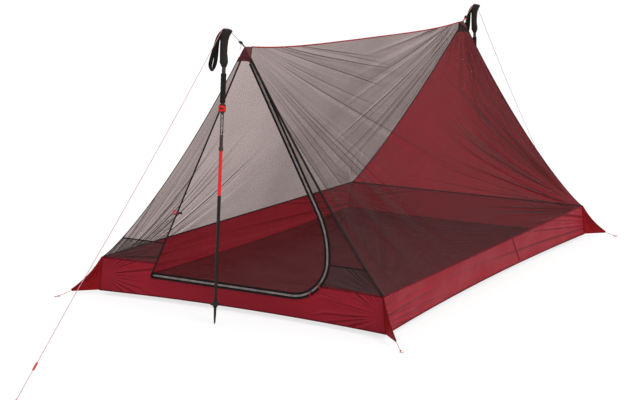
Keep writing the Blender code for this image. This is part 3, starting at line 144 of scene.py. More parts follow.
# What the panels are cut from, laid flat: across, up and, where it isn't a whole rectangle, the area
END_WALL_CUT, FRONT_WALL_AREA, SIDE_WALL_CUT = (1.27, 0.140), 0.131, (2.13, 0.140)
FLOOR_CUT, ROOF_CUT, PATCH_CUT = (1.27, 2.13), (2.14, 1.06), (0.075, 0.069)
REAR_CUT, REAR_AREA = (1.25, 0.88), 0.490
DOOR_CUT, DOOR_AREA = (0.77, 0.85), 0.373
GUSSET_CUT, GUSSET_AREA = (0.112, 0.136), 0.0064

# What the UV maps of the panels measure: across and up
END_WALL_MAP, SIDE_WALL_MAP = (2 * RIM_X, RIM_Z - HEM_Z), (2 * RIM_Y, RIM_Z - HEM_Z)
ROOF_MAP, REAR_MAP, DOOR_MAP = (2 * RIM_Y, 1.06), (2 * RIM_X, 0.87), (0.70, 0.85)
PATCH_MAP, GUSSET_MAP = (0.16, 0.05), (0.11, 0.134)

# Where the folds of each panel start: across and up it, their reach, fineness and strength
LEFT_ROOF_FANS = [(0.15, -0.36, 1.12, 27.0, 3.0), (2.124, 0.0, 0.5, 16.0, 0.5), (2.13, 1.12, 1.2, 26.0, 1.7)]
RIGHT_ROOF_FANS = [(0.0, -0.02, 0.75, 24.0, 0.6), (2.15, -0.03, 1.15, 23.0, 2.1),
                   (-0.06, 1.14, 1.8, 21.0, 1.4), (2.16, 1.12, 1.0, 24.0, 1.1)]
FRONT_FANS = [(0.0, 0.0, 0.8, 14.0, 0.7)]
CORNER_FANS = [(0.0, 0.0, 0.4, 9.0, 0.7)]
DOOR_FANS = [(0.0, 0.0, 0.6, 9.0, 0.35), (0.78, 0.05, 0.35, 9.0, 0.4)]
REAR_FANS = [(0.0, 0.0, 0.5, 14.0, 0.3), (1.24, -0.02, 1.1, 24.0, 1.4)]
END_WALL_FANS = [(0.0, 0.06, 0.50, 12.0, 1.1), (1.24, 0.06, 0.45, 12.0, 0.9)]
SIDE_WALL_FANS = [(-0.35, 0.05, 1.4, 17.0, 1.5), (2.50, 0.00, 2.2, 27.0, 1.7), (-0.90, 0.12, 3.0, 36.0, 1.2)]
FLOOR_FANS = [(x, y, 0.9, 12.0, 0.6) for y in (0.0, 2.13) for x in (0.0, 1.27)]
GUSSET_FANS = [(0.0, 0.134, 0.2, 8.0, 0.8)]
PATCH_FANS = [(0.03, 0.05, 0.08, 5.0, 0.5)]

# The folds as geometry: how deep they are, and how they differ from the finer creases in the material
REAR_WALL_DEPTH, FRONT_WALL_DEPTH, SIDE_WALL_DEPTH, ROOF_DEPTH = 0.0035, 0.0025, 0.004, 0.006
REAR_DEPTH, FRONT_DEPTH, GUSSET_DEPTH = 0.005, 0.002, 0.0015
RELIEF_FINENESS, RELIEF_BEND, RELIEF_START, RELIEF_REACH, RELIEF_SEED = 0.42, 0.5, 0.15, 0.6, 5.3
DENTS, DENT_SEED, DENT_DEPTH = 3.0, 40.0, 0.5

# The folds in the materials
CREASE_WIDTH, FOLD_BEND = 0.0045, 0.3
SLOPE_STEP, LEAST_SLOPE, FULL_SLOPE = 0.08, 0.10, 0.40    # no crease where its noise is nearly level
FAN_SEED, LENGTH_SEED, LENGTH_FINENESS = 3.7, 50.0, 0.7
LENGTH_RANGE, SHORTEST_FOLD = (0.35, 0.65), 0.30          # the noise that picks lengths; a share of the reach
FOLD_START, FOLD_FULL, FOLD_FADE = 0.04, 0.30, 0.50       # shares of the reach, and of each fold's length
# Painted shade of the folds: by this share a full crease darkens coated cloth, and the netting's cover
# follows the folds
CREASE_SHADE_SHARE = 0.40         # how far a full crease changes the cloth

# Colours and finishes
NOISE_RANGE = (0.3, 0.7)    # where most of a noise texture's values lie
# The netting's threads, their darker colour in creases, which is painted shade, and the tint of the light
# through them
MESH_THREAD, MESH_CREASE_SHADE, MESH_TINT = (0.062, 0.043, 0.044), (0.050, 0.029, 0.028), (0.910, 0.825, 0.810)
MESH_GRAIN, MESH_CLOUD, MESH_GRAINS, MESH_CLOUDS, MESH_DEPTH = 0.11, 0.03, 230.0, 3.0, 0.03
RED, BURGUNDY, DARK = (0.42, 0.020, 0.038), (0.115, 0.024, 0.028), (0.022, 0.015, 0.015)
DENT_SKEW = 1.7             # a seed moves the dents across by itself, and up by this many times as much
CLOTH_DENTS, CLOTH_DENT_HEIGHT, CLOTH_DENT_RANGE, CLOTH_DENT_SHARE = 6.0, 0.20, (0.35, 0.65), 0.12
# The third of these is the darkest share of the coated cloth's colour, for its painted shade and for the
# mottle of its dents
CLOTH_PITCH, CLOTH_WEAVE, CLOTH_SHADE_AND_MOTTLE, CLOTH_ROUGHNESS = 0.0012, 0.0015, 0.45, (0.46, 0.58)
SHADOW_UP = (0.05, 0.30)
TAPE_PITCH, TAPE_CLOUDS, TAPE_UNEVEN, TAPE_DEPTH = 0.0011, 60.0, 0.25, 0.0002
CORD_PITCH, CORD_DEPTH, STRAND_RANGE, FLECK_PITCHES, FLECK_RANGE = 0.0025, 0.0003, (0.4, 0.9), 7, (0.55, 0.95)
SOLID_CLOUDS, SOLID_RANGE, SOLID_LIFT, SOLID_UNEVEN = 35.0, (0.35, 0.7), 0.004, 0.07


# Shader nodes

class Value:
    """A number in a shader. Formulas with it read as plain arithmetic, and each step becomes a Math node."""

    def __init__(self, socket):
        self.socket = socket
        self.tree = socket.id_data

    def calc(self, operation, *others):
        inputs = dict(enumerate((self, *others)))
        return Value(node(self.tree, 'Math', inputs, operation=operation).outputs[0])

    def __add__(self, other):
        return self.calc('ADD', other)

    def __sub__(self, other):
        return self.calc('SUBTRACT', other)

    def __mul__(self, other):
        return self.calc('MULTIPLY', other)

    def __truediv__(self, other):
        return self.calc('DIVIDE', other)

    def __abs__(self):
        return self.calc('ABSOLUTE')


def feed(source, socket):
    """Links a value or an output to a socket, or sets the socket to anything else."""
    if isinstance(source, Value):
        source = source.socket
    if isinstance(source, bpy.types.NodeSocket):
        socket.id_data.links.new(source, socket)
    else:
        socket.default_value = source


def node(tree, kind, inputs=None, **settings):
    """Adds a shader node. inputs says what its sockets are fed."""
    made = tree.nodes.new('ShaderNode' + kind)
    for key, setting in settings.items():
        setattr(made, key, setting)
    for key, source in (inputs or {}).items():
        feed(source, made.inputs[key])
    return made


def ramp(value, start, end, low=0.0, high=1.0):
    """Value from start to end becomes low to high, smoothly and clamped."""
    inputs = {"Value": value, "From Min": start, "From Max": end, "To Min": low, "To Max": high}
    made = node(value.tree, 'MapRange', inputs, interpolation_type='SMOOTHSTEP')
    return Value(made.outputs["Result"])


def mix_colours(share, first, second):
    made = node(share.tree, 'Mix', data_type='RGBA')
    sockets = {socket.identifier: socket for socket in made.inputs}
    feed(share, sockets["Factor_Float"])
    feed((*first, 1.0), sockets["A_Color"])
    feed((*second, 1.0), sockets["B_Color"])
    return next(socket for socket in made.outputs if socket.identifier == "Result_Color")


def mix_shaders(tree, share, first, second):
    """Shows the second shader by this share, and the first one for the rest."""
    both = node(tree, 'MixShader', {0: share, 1: first.outputs[0], 2: second.outputs[0]})
    feed(both.outputs[0], tree.nodes["Material Output"].inputs["Surface"])


def noise_value(tree, place, scale, detail, roughness=0.5):
    inputs = {"Vector": place, "Scale": scale, "Detail": detail, "Roughness": roughness}
    return Value(node(tree, 'TexNoise', inputs).outputs[0])


def seen_directly(tree):
    """1 for rays from the camera and for mirror and glass rays, else 0."""
    path = node(tree, 'LightPath').outputs
    either = Value(path["Is Camera Ray"]).calc('MAXIMUM', path["Is Glossy Ray"])
    return either.calc('MAXIMUM', path["Is Transmission Ray"])


# Camera, light and ground

def make_camera():
    back = Vector((math.sin(AZIMUTH) * math.cos(ELEVATION), -math.cos(AZIMUTH) * math.cos(ELEVATION),
                   math.sin(ELEVATION)))
    right = Vector((math.cos(AZIMUTH), math.sin(AZIMUTH), 0))
    up = back.cross(right)
    camera = bpy.data.objects.new("camera", bpy.data.cameras.new("camera"))
    camera.data.lens = LENS
    camera.data.sensor_width = SENSOR
    camera.data.clip_end = VIEW_END
    rotation = Matrix((turned(right, up, ROLL), turned(up, -right, ROLL), back)).transposed()
    camera.matrix_world = Matrix.Translation(CAMERA_PLACE) @ rotation.to_4x4()
    scene.collection.objects.link(camera)
    scene.camera = camera


def make_light():
    scene.view_settings.view_transform = 'Standard'
    world = bpy.data.worlds.new("studio")
    world.use_nodes = True
    scene.world = world
    background = world.node_tree.nodes["Background"]
    feed((1, 1, 1, 1), background.inputs["Color"])
    feed(ramp(seen_directly(world.node_tree), 0, 1, SKY_LIGHT, SKY_SEEN), background.inputs["Strength"])

    sun = bpy.data.objects.new("key_light", bpy.data.lights.new("key_light", 'SUN'))
    sun.data.energy = SUN_POWER
    sun.data.angle = SUN_BLUR
    sun.rotation_euler = Vector(SUN_PLACE).to_track_quat('Z', 'Y').to_euler()
    scene.collection.objects.link(sun)


def make_ground():
    bm = bmesh.new()
    bmesh.ops.create_grid(bm, x_segments=1, y_segments=1, size=GROUND_SIZE)
    mesh = to_mesh(bm)
    ground = bpy.data.objects.new("studio_floor", mesh)
    ground.location.z = -GROUND_DROP
    scene.collection.objects.link(ground)
    material = bpy.data.materials.new("studio_floor")
    material.use_nodes = True
    tree = material.node_tree
    tree.nodes.remove(tree.nodes["Principled BSDF"])
    shade = node(tree, 'BsdfDiffuse', {"Color": GROUND_COLOUR})
    glow = node(tree, 'Emission', {"Strength": seen_directly(tree) * GROUND_GLOW})
    total = node(tree, 'AddShader', {0: shade.outputs[0], 1: glow.outputs[0]})
    feed(total.outputs[0], tree.nodes["Material Output"].inputs["Surface"])
    mesh.materials.append(material)


# Materials

def new_material(name, colour, roughness, metallic=0.0, gloss=0.2):
    material = bpy.data.materials.new(name)
    material.use_nodes = True
    shader = material.node_tree.nodes["Principled BSDF"]
    feed((*colour, 1.0), shader.inputs["Base Color"])
    feed(roughness, shader.inputs["Roughness"])
    feed(metallic, shader.inputs["Metallic"])
    feed(gloss, shader.inputs["Specular IOR Level"])
    return material, material.node_tree, shader


def add_bump(shader, height, distance):
    bump = node(height.tree, 'Bump', {"Height": height, "Distance": distance, "Strength": 1.0})
    feed(bump.outputs[0], shader.inputs["Normal"])


def scaled(colour, share):
    return tuple(part * share for part in colour)


def place_on_panel(tree):
    """Across and up a panel, from its UV map."""
    split = node(tree, 'SeparateXYZ', {0: node(tree, 'UVMap').outputs[0]})
    return Value(split.outputs[0]), Value(split.outputs[1])


def turns(place, pitch):
    """The angle at a place, with a full turn for each pitch."""
    return place * (math.tau / pitch)


def fold_noise(angle, run, seed):
    spot = node(angle.tree, 'CombineXYZ', {0: angle, 1: run, 2: seed})
    return noise_value(angle.tree, spot.outputs[0], scale=1.0, detail=0.0)


def tension_folds(tree, fans, seed):
    """Straight folds that fan out from corners of a panel: how much of a crease there is, and the height.

    Each fan is (across, up, reach, fineness, strength): its corner, which may lie beside the panel, how far
    its folds run, how close together they are and how deep they are.
    """
    panel_across, panel_up = place_on_panel(tree)
    crease, height = 0.0, 0.0
    for index, (x, y, reach, fineness, strength) in enumerate(fans):
        fan_seed = seed + FAN_SEED * index
        across, up = panel_across - x, panel_up - y
        angle = up.calc('ARCTAN2', across) * fineness
        distance = (across * across + up * up).calc('SQRT')

        bend = distance * FOLD_BEND
        wave = fold_noise(angle, bend, fan_seed)
        off = wave - 0.5
        slope = abs(fold_noise(angle + SLOPE_STEP, bend, fan_seed) - wave) / SLOPE_STEP
        aside = abs(off) / slope.calc('MAXIMUM', LEAST_SLOPE) * (distance / fineness)
        crease_line = ramp(aside, 0.0, CREASE_WIDTH, 1, 0) * ramp(slope, LEAST_SLOPE, FULL_SLOPE)

        chosen = fold_noise(angle * LENGTH_FINENESS, 0.0, fan_seed + LENGTH_SEED)
        run = distance / ramp(chosen, *LENGTH_RANGE, SHORTEST_FOLD * reach, reach)
        begun = ramp(distance, FOLD_START * reach, FOLD_FULL * reach, 0, strength)
        fall = begun * ramp(run, FOLD_FADE, 1.0, 1, 0)
        crease = (crease_line * fall).calc('MAXIMUM', crease)
        height = off * fall + height
    return crease, height


def crumple(tree, scale, seed):
    """Soft random dents, which no corner pulls."""
    moved = {0: node(tree, 'UVMap').outputs[0], 1: (seed, seed * DENT_SKEW, 0)}
    place = node(tree, 'VectorMath', moved, operation='ADD').outputs[0]
    return noise_value(tree, place, scale, detail=4.0, roughness=0.55)


def mesh_cloth(name, fans, seed, cover=0.40, painted_shade=None):
    """Sheer netting: brown threads, and tinted light through the share that they don't cover.

    It takes more cover where it creases, and it has painted shade: its threads are darker in the creases, its
    cover follows the height of the folds, and the last argument is (start, end, foot, top, share): where
    across and up the panel a painted shade slowly raises its cover, and by how much.
    """
    material, tree, shader = new_material(name, MESH_THREAD, roughness=0.8, gloss=0.05)
    crease, height = tension_folds(tree, fans, seed)
    if painted_shade:
        start, end, foot, top, share = painted_shade
        across, up = place_on_panel(tree)
        # Painted shade: the cover grows towards the rear and the foot of the panel.
        cover = ramp(across, start, end) * ramp(up, foot, top, share, 0.0) + cover
    grain = ramp(crumple(tree, MESH_GRAINS, seed), *NOISE_RANGE, -MESH_GRAIN, MESH_GRAIN)
    cloud = ramp(crumple(tree, MESH_CLOUDS, seed), *NOISE_RANGE, -MESH_CLOUD, MESH_CLOUD)
    # Painted shade of the folds: the cover follows their height and grows in the creases.
    threads = grain + cloud + (height * CREASE_SHADE_SHARE + crease * CREASE_SHADE_SHARE + cover)
    mix_shaders(tree, threads, node(tree, 'BsdfTransparent', {"Color": (*MESH_TINT, 1.0)}), shader)
    # Painted shade: the threads are darker in the creases.
    feed(mix_colours(crease, MESH_THREAD, MESH_CREASE_SHADE), shader.inputs["Base Color"])
    add_bump(shader, height, MESH_DEPTH)
    return material


def coated_cloth(name, colour, fans, seed, depth=0.02, glow=0.0, shadow=None):
    """Tightly woven cloth with a coating: a soft gloss, tension folds and small dents, and painted shade that
    darkens its colour in the creases of the folds.

    glow is the share of the light that comes through from its other side. shadow is (start, end, share):
    where across the panel its darker part starts and is complete, and how dark it is.
    """
    material, tree, shader = new_material(name, colour, roughness=0.5, gloss=0.14)
    across, up = place_on_panel(tree)
    crease, height = tension_folds(tree, fans, seed)
    dents = crumple(tree, CLOTH_DENTS, seed)
    weave = turns(across, CLOTH_PITCH).calc('SINE') * turns(up, CLOTH_PITCH).calc('SINE')
    height = dents * CLOTH_DENT_HEIGHT + height + weave * CLOTH_WEAVE
    # Painted shade: the creases darken the colour. The dents only mottle it a little.
    share = crease * CREASE_SHADE_SHARE + ramp(dents, *CLOTH_DENT_RANGE, 0.0, CLOTH_DENT_SHARE)
    if shadow:
        start, end, dark = shadow
        share = share + ramp(across, start, end, 0.0, dark) * ramp(up, *SHADOW_UP)
    shade = mix_colours(share, colour, scaled(colour, CLOTH_SHADE_AND_MOTTLE))
    feed(shade, shader.inputs["Base Color"])
    feed(ramp(dents, *NOISE_RANGE, *CLOTH_ROUGHNESS), shader.inputs["Roughness"])
    add_bump(shader, height, depth)
    if glow:
        mix_shaders(tree, glow, shader, node(tree, 'BsdfTranslucent', {"Color": shade}))
    return material


def ribbed_tape(name, colour, pitch=TAPE_PITCH, roughness=0.8):
    """Grosgrain and zip tape: fine ribs across its length, which is the second direction of the UV map."""
    material, tree, shader = new_material(name, colour, roughness, gloss=0.1)
    cloud = ramp(crumple(tree, TAPE_CLOUDS, 1.0), *NOISE_RANGE)
    dark, light = scaled(colour, 1 - TAPE_UNEVEN), scaled(colour, 1 + TAPE_UNEVEN)
    feed(mix_colours(cloud, dark, light), shader.inputs["Base Color"])
    add_bump(shader, turns(place_on_panel(tree)[1], pitch).calc('SINE'), TAPE_DEPTH)
    return material


def braided_cord(name, colour, fleck):
    """Braided cord: two crossing spirals of strands, some of them in the fleck colour."""
    material, tree, shader = new_material(name, colour, roughness=0.65)
    around, along = place_on_panel(tree)
    turn, run = turns(around, CORD_PITCH), turns(along, CORD_PITCH)
    strands = (turn + run).calc('SINE').calc('MAXIMUM', (turn - run).calc('SINE'))
    slow = turns(along, CORD_PITCH * FLECK_PITCHES).calc('SINE')
    share = ramp(strands, *STRAND_RANGE) * ramp(slow, *FLECK_RANGE)
    feed(mix_colours(share, colour, fleck), shader.inputs["Base Color"])
    add_bump(shader, strands, CORD_DEPTH)
    return material


def solid_stuff(name, colour, roughness, metallic=0.0, scale=900.0, depth=0.0002, wear=0.12):
    """Plastic, rubber, foam or metal with a fine grain, slightly uneven in colour and gloss."""
    material, tree, shader = new_material(name, colour, roughness, metallic)
    place = node(tree, 'TexCoord').outputs["Object"]
    grain, cloud = (noise_value(tree, place, size, detail=3.0) for size in (scale, SOLID_CLOUDS))
    lighter = tuple(min(part * (1 + wear) + SOLID_LIFT, 1) for part in colour)
    darker, share = scaled(colour, 1 - wear), ramp(cloud, *SOLID_RANGE)
    feed(mix_colours(share, darker, lighter), shader.inputs["Base Color"])
    uneven = ramp(cloud, *NOISE_RANGE, roughness - SOLID_UNEVEN, roughness + SOLID_UNEVEN)
    feed(uneven, shader.inputs["Roughness"])
    add_bump(shader, grain, depth)
    return material


def make_materials():
    return {
        # The left roof's netting has painted shade: more cover towards its rear and its foot.
        "roof_left": mesh_cloth("mesh_left", LEFT_ROOF_FANS, 2.0, cover=0.36,
                                painted_shade=(-0.25, 1.30, 0.35, 1.6, 0.27)),
        "roof_right": mesh_cloth("mesh_right", RIGHT_ROOF_FANS, 9.0, cover=0.39),
        "front": mesh_cloth("mesh_front", FRONT_FANS, 4.0),
        "fine": mesh_cloth("mesh_corner", CORNER_FANS, 5.0, cover=0.72),
        "door": mesh_cloth("mesh_door", DOOR_FANS, 6.0, cover=0.19),
        "rear": coated_cloth("rear_cloth", (0.52, 0.038, 0.058), REAR_FANS, 3.0, 0.03, glow=0.55,
                             shadow=(0.55, 0.95, 0.45)),
        "wall_end": coated_cloth("wall_cloth_end", RED, END_WALL_FANS, 7.0, glow=0.22),
        "wall_side": coated_cloth("wall_cloth_side", RED, SIDE_WALL_FANS, 8.0, glow=0.22),
        "floor": coated_cloth("floor_cloth", (0.17, 0.014, 0.022), FLOOR_FANS, 2.5, 0.05),
        "gusset": coated_cloth("gusset_cloth", (0.42, 0.016, 0.024), GUSSET_FANS, 1.5, 0.01, glow=0.5),
        "patch": coated_cloth("patch_cloth", BURGUNDY, PATCH_FANS, 1.2, 0.004),
        "binding": ribbed_tape("binding", DARK),
        "hem": ribbed_tape("hem_binding", (0.17, 0.012, 0.019)),
        "piping": ribbed_tape("ridge_piping", (0.50, 0.040, 0.040)),
        "tape": ribbed_tape("zip_tape", (0.016, 0.011, 0.011)),
        "coil": ribbed_tape("zip_coil", (0.30, 0.255, 0.25), pitch=0.0016, roughness=0.6),
        "guyline": braided_cord("guyline_cord", (0.72, 0.32, 0.34), (0.78, 0.66, 0.66)),
        "red_line": braided_cord("red_cord", (0.66, 0.022, 0.030), (0.75, 0.30, 0.30)),
        "corner_line": braided_cord("corner_cord", (0.72, 0.30, 0.30), (0.80, 0.68, 0.66)),
        "tab": ribbed_tape("red_webbing", (0.62, 0.020, 0.030), pitch=0.0009),
        "toggle": solid_stuff("toggle_plastic", (0.020, 0.010, 0.010), 0.45),
        "plastic": solid_stuff("black_plastic", (0.012, 0.009, 0.008), 0.45),
        "slider": solid_stuff("slider_metal", (0.12, 0.10, 0.10), 0.38, metallic=0.8),
        "tensioner": solid_stuff("tensioner_plastic", (0.62, 0.026, 0.034), 0.4, metallic=0.2),
        "rubber": solid_stuff("grip_rubber", (0.015, 0.010, 0.008), 0.65, scale=520.0, depth=0.0010),
        "foam": solid_stuff("foam", (0.014, 0.010, 0.009), 0.9, scale=700.0, depth=0.0012),
        "strap": ribbed_tape("strap_webbing", (0.013, 0.009, 0.009), pitch=0.0013),
        "dark_tube": solid_stuff("dark_tube", (0.060, 0.040, 0.038), 0.4, 0.5, depth=0.00004, wear=0.08),
        "red_tube": solid_stuff("red_tube", (0.92, 0.022, 0.026), 0.45, depth=0.00004, wear=0.04),
        "black_tube": solid_stuff("black_tube", (0.016, 0.011, 0.010), 0.42, 0.2, depth=0.00004, wear=0.1),
        "lever": solid_stuff("lever_red", (0.80, 0.026, 0.020), 0.42, depth=0.00006),
        "marks": new_material("scale_marks", (0.85, 0.82, 0.80), roughness=0.6)[0],
    }


# Ways to build a piece

def to_mesh(bm):
    """The mesh of bm, which ends with it."""
    mesh = bpy.data.meshes.new("piece")
    bm.to_mesh(mesh)
    bm.free()
    return mesh


def add_piece(name, mesh, material, slot, body="tent", replaces=False):
    """Puts a piece on a body. material is a key of stuff, and slot is the solid it dresses or replaces."""
    mesh.name = name
    mesh.materials.append(stuff[material])
    piece = bpy.data.objects.new(name, mesh)
    scene.collection.objects.link(piece)
    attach(piece, body)
    if replaces:
        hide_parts(slot)
    return piece


def add_sheet(name, mesh, material, slot, flat, area=None, body="tent",
              replaces=True):
    """A piece of cloth. flat, the rectangle it is cut from, and area, its own where it doesn't fill that, are
    not used.
    """
    piece = add_piece(name, mesh, material, slot, body, replaces)
    return piece


def add_strip(name, points, size, material, slot, out, body="tent", replaces=False, closed=False):
    """A flat strip. size is half of its width and half of its thickness, and its broad side faces out."""
    add_piece(name, sweep(points, flat_profile(*size), out, closed), material, slot, body, replaces)


def add_round(name, points, radius, sides, material, slot, replaces=False, closed=False):
    return add_piece(name, sweep(points, round_profile(radius, sides), None, closed), material, slot,
                     replaces=replaces)


def thicken(piece, thickness, offset=0):
    solid = piece.modifiers.new("thickness", 'SOLIDIFY')
    solid.thickness = thickness
    solid.offset = offset


def repaint(name, material):
    """Gives a rigid solid its look and keeps its shape."""
    nodes[name].data.materials.clear()
    nodes[name].data.materials.append(stuff[material])


def shares(count, start=0):
    """Equal steps of 1 / count, from start / count to 1."""
    return [step / count for step in range(start, count + 1)]


def points_on(edge, count, start=0):
    """Places on an edge, which is a function from a share of its length to a place."""
    return [edge(share) for share in shares(count, start)]


def line(start, end):
    return lambda share: start.lerp(end, share)


def straight(start, end, count, first=0):
    return points_on(line(start, end), count, first)


def bowed_line(start, end, bow):
    return lambda share: start.lerp(end, share) + bow * (4 * share * (1 - share))


def polyline(points):
    """An edge through points, with the same share of it for each stretch."""
    stretches = len(points) - 1

    def edge(share):
        index = min(int(share * stretches), stretches - 1)
        return points[index].lerp(points[index + 1], share * stretches - index)
    return edge


def coons(bottom, top, left, right):
    """The surface between four edges."""
    def surface(u, v):
        ruled_up = bottom(u).lerp(top(u), v)
        ruled_across = left(v).lerp(right(v), u)
        return ruled_up + ruled_across - bottom(0).lerp(bottom(1), u).lerp(top(0).lerp(top(1), u), v)
    return surface


def cloth_mesh(surface, columns, rows, size, relief=None, shift=0.0):
    """A panel as one smooth surface. size is what its UV map measures, and relief is a height off it."""
    bm = bmesh.new()
    bmesh.ops.create_grid(bm, x_segments=columns, y_segments=rows, size=0.5)
    uv_map = bm.loops.layers.uv.new("UVMap")
    spots = {}
    for vertex in bm.verts:
        u, v = vertex.co.x + 0.5, vertex.co.y + 0.5
        spots[vertex] = (u, v)
        vertex.co = surface(u, v)
    for face in bm.faces:
        face.smooth = True
        for loop in face.loops:
            u, v = spots[loop.vert]
            loop[uv_map].uv = (u * size[0], v * size[1])
    bm.normal_update()
    moved = []
    for vertex in bm.verts:
        u, v = spots[vertex]
        height = shift + (relief(u * size[0], v * size[1], u, v) if relief else 0.0)
        moved.append(vertex.co + vertex.normal * height)
    for vertex, place in zip(bm.verts, moved):
        vertex.co = place
    return to_mesh(bm)


def edge_fade(u, v, width_u=0.03, width_v=0.06):
    """0 on a panel's edges and 1 away from them."""
    share = min(min(u, 1 - u) / width_u, min(v, 1 - v) / width_v, 1.0)
    return share * share * (3 - 2 * share)


def ripple(x, y, waves):
    """Noise over a place. Each wave is (how many to a metre, its seed, its share)."""
    return sum(share * noise.noise(Vector((x * scale, y * scale, seed))) for scale, seed, share in waves)


def radial_relief(fans, seed, depth):
    """Real folds that fan out from corners, as a relief for cloth_mesh. tension_folds explains the fans."""
    def relief(x, y, u, v):
        height = 0.0
        for index, (corner_x, corner_y, reach, fineness, strength) in enumerate(fans):
            across, up = x - corner_x, y - corner_y
            distance = math.hypot(across, up)
            angle = math.atan2(up, across)
            wave = noise.noise(Vector((angle * fineness * RELIEF_FINENESS, distance * RELIEF_BEND,
                                       seed + RELIEF_SEED * index)))
            fall = math.exp(-(distance / (RELIEF_REACH * reach)) ** 2)
            height += strength * wave * min(distance / RELIEF_START, 1.0) * fall
        return depth * edge_fade(u, v) * (height + ripple(x, y, [(DENTS, seed + DENT_SEED, DENT_DEPTH)]))
    return relief


def turned(first, second, angle):
    """The first direction, turned toward the second."""
    return first * math.cos(angle) + second * math.sin(angle)


def add_face(bm, uv_map, corners, spots):
    """A smooth face, and where its corners are on the UV map."""
    face = bm.faces.new(corners)
    face.smooth = True
    for loop, spot in zip(face.loops, spots):
        loop[uv_map].uv = spot


def directions(points, closed):
    count = len(points)
    found = []
    for index in range(count):
        ahead = points[(index + 1) % count] if closed else points[min(index + 1, count - 1)]
        behind = points[index - 1] if closed or index else points[0]
        found.append((ahead - behind).normalized())
    return found


def sweep(points, profile, out, closed=False):
    """A mesh drawn along points with a profile of (aside, outward) places. A round one needs no out."""
    count, sides = len(points), len(profile)
    tangents = directions(points, closed)
    if out is None:
        normal, normals = tangents[0].orthogonal().normalized(), []
        for tangent in tangents:
            normal = (normal - tangent * normal.dot(tangent)).normalized()
            normals.append(normal.copy())
    else:
        normals = [(out - tangent * out.dot(tangent)).normalized() for tangent in tangents]
    girth = [0.0]
    for start, end in zip(profile, profile[1:] + profile[:1]):
        girth.append(girth[-1] + math.dist(start, end))
    run = [0.0]
    for before, after in zip(points, points[1:] + points[:1]):
        run.append(run[-1] + (after - before).length)

    bm = bmesh.new()
    uv_map = bm.loops.layers.uv.new("UVMap")
    rings = []
    for point, tangent, normal in zip(points, tangents, normals):
        aside = tangent.cross(normal)
        rings.append([bm.verts.new(point + aside * a + normal * b) for a, b in profile])
    for index in range(count if closed else count - 1):
        ring, following = rings[index], rings[(index + 1) % count]
        near, far = run[index], run[index + 1]
        for side in range(sides):
            other = (side + 1) % sides
            first, second = girth[side], girth[side + 1]
            add_face(bm, uv_map, (ring[side], ring[other], following[other], following[side]),
                     ((first, near), (second, near), (second, far), (first, far)))
    if not closed:
        bm.faces.new(rings[0][::-1])
        bm.faces.new(rings[-1])
    return to_mesh(bm)


def round_profile(radius, sides):
    return [(radius * math.cos(math.tau * side / sides), radius * math.sin(math.tau * side / sides))
            for side in range(sides)]


def flat_profile(half_width, half_height):
    """A flattened oval."""
    profile = []
    for end in (1, -1):
        for share in shares(4):
            angle = math.pi * share - math.pi / 2
            profile.append((end * (half_width - half_height + half_height * math.cos(angle)),
                            end * half_height * math.sin(angle)))
    return profile


def catmull(points, steps):
    """Points on the smooth curve through the given ones."""
    found = []
    for index, (start, end) in enumerate(zip(points, points[1:])):
        before, after = points[max(index - 1, 0)], points[min(index + 2, len(points) - 1)]
        for step in range(steps):
            t = step / steps
            square, cube = 2 * before - 5 * start + 4 * end - after, 3 * start - before - 3 * end + after
            found.append(0.5 * (2 * start + (end - before) * t + square * t ** 2 + cube * t ** 3))
    return found + [points[-1].copy()]


def length_of(points):
    return sum((end - start).length for start, end in zip(points, points[1:]))


def area_of(mesh):
    return sum(face.area for face in mesh.polygons)


# The tent's lines. side is -1 for left and 1 for right, and end is -1 for front and 1 for rear.

def hem_corner(side, end):
    return Vector((side * HEM_X, end * HEM_Y, HEM_Z))


def rim_corner(side, end):
    return Vector((side * RIM_X, end * RIM_Y, RIM_Z))


def peak(end):
    return Vector((0, end * PEAK_Y, PEAK_Z))


def hem_end(end):
    return bowed_line(hem_corner(-1, end), hem_corner(1, end), Vector((0, -end * HEM_BOW_END, 0)))


def hem_side(side):
    return bowed_line(hem_corner(side, -1), hem_corner(side, 1), Vector((-side * HEM_BOW_SIDE, 0, 0)))


def rim_end(end):
    return line(rim_corner(-1, end), rim_corner(1, end))


def rim_side(side):
    return line(rim_corner(side, -1), rim_corner(side, 1))


def wall_corner(side, end):
    return line(hem_corner(side, end), rim_corner(side, end))


def hip(side, end, share):
    skewed = max(share, 0.0) ** HIP_SAG_SKEW
    sag = 4 * skewed * (1 - skewed)
    return rim_corner(side, end).lerp(peak(end), share) - Vector((side * HIP_SAG_ACROSS * sag,
                                                                  end * HIP_SAG_ALONG * sag, 0))


def hip_stretch(side, end, start, stop):
    return lambda share: hip(side, end, start + share * (stop - start))


def between_hips(bottom, end, start):
    """The surface between an end's two hips, from bottom, which starts at this share of them."""
    return coons(bottom, line(hip(-1, end, HIP_END), hip(1, end, HIP_END)),
                 hip_stretch(-1, end, start, HIP_END), hip_stretch(1, end, start, HIP_END))


def ridge(share):
    return peak(-1).lerp(peak(1), share) - Vector((0, 0, RIDGE_SAG * (1 - abs(2 * share - 1) ** 4)))


HIP_LENGTH = (rim_corner(1, -1) - peak(-1)).length
HIP_END = 1 - PATCH_REACH / HIP_LENGTH
SKIRT_FOOT = HIP_END - SKIRT_LENGTH
RIDGE_START = PATCH_REACH / (2 * PEAK_Y)
CROSS_SHARE = CROSS_SEAM / (PEAK_Z - RIM_Z)
ZIP_OUTER = ZIP_HALF + ZIP_GAP
DOOR_TILT = math.atan2(DOOR_TOP_INSET - SILL_INSET, DOOR_TOP_Z - SILL_Z)
DOOR_PLANE_Y = -RIM_Y + SILL_INSET - SILL_Z * math.tan(DOOR_TILT)
DOOR_OUT = Vector((0, -math.cos(DOOR_TILT), math.sin(DOOR_TILT)))
DOOR_UP = DOOR_OUT.cross(RIGHT)


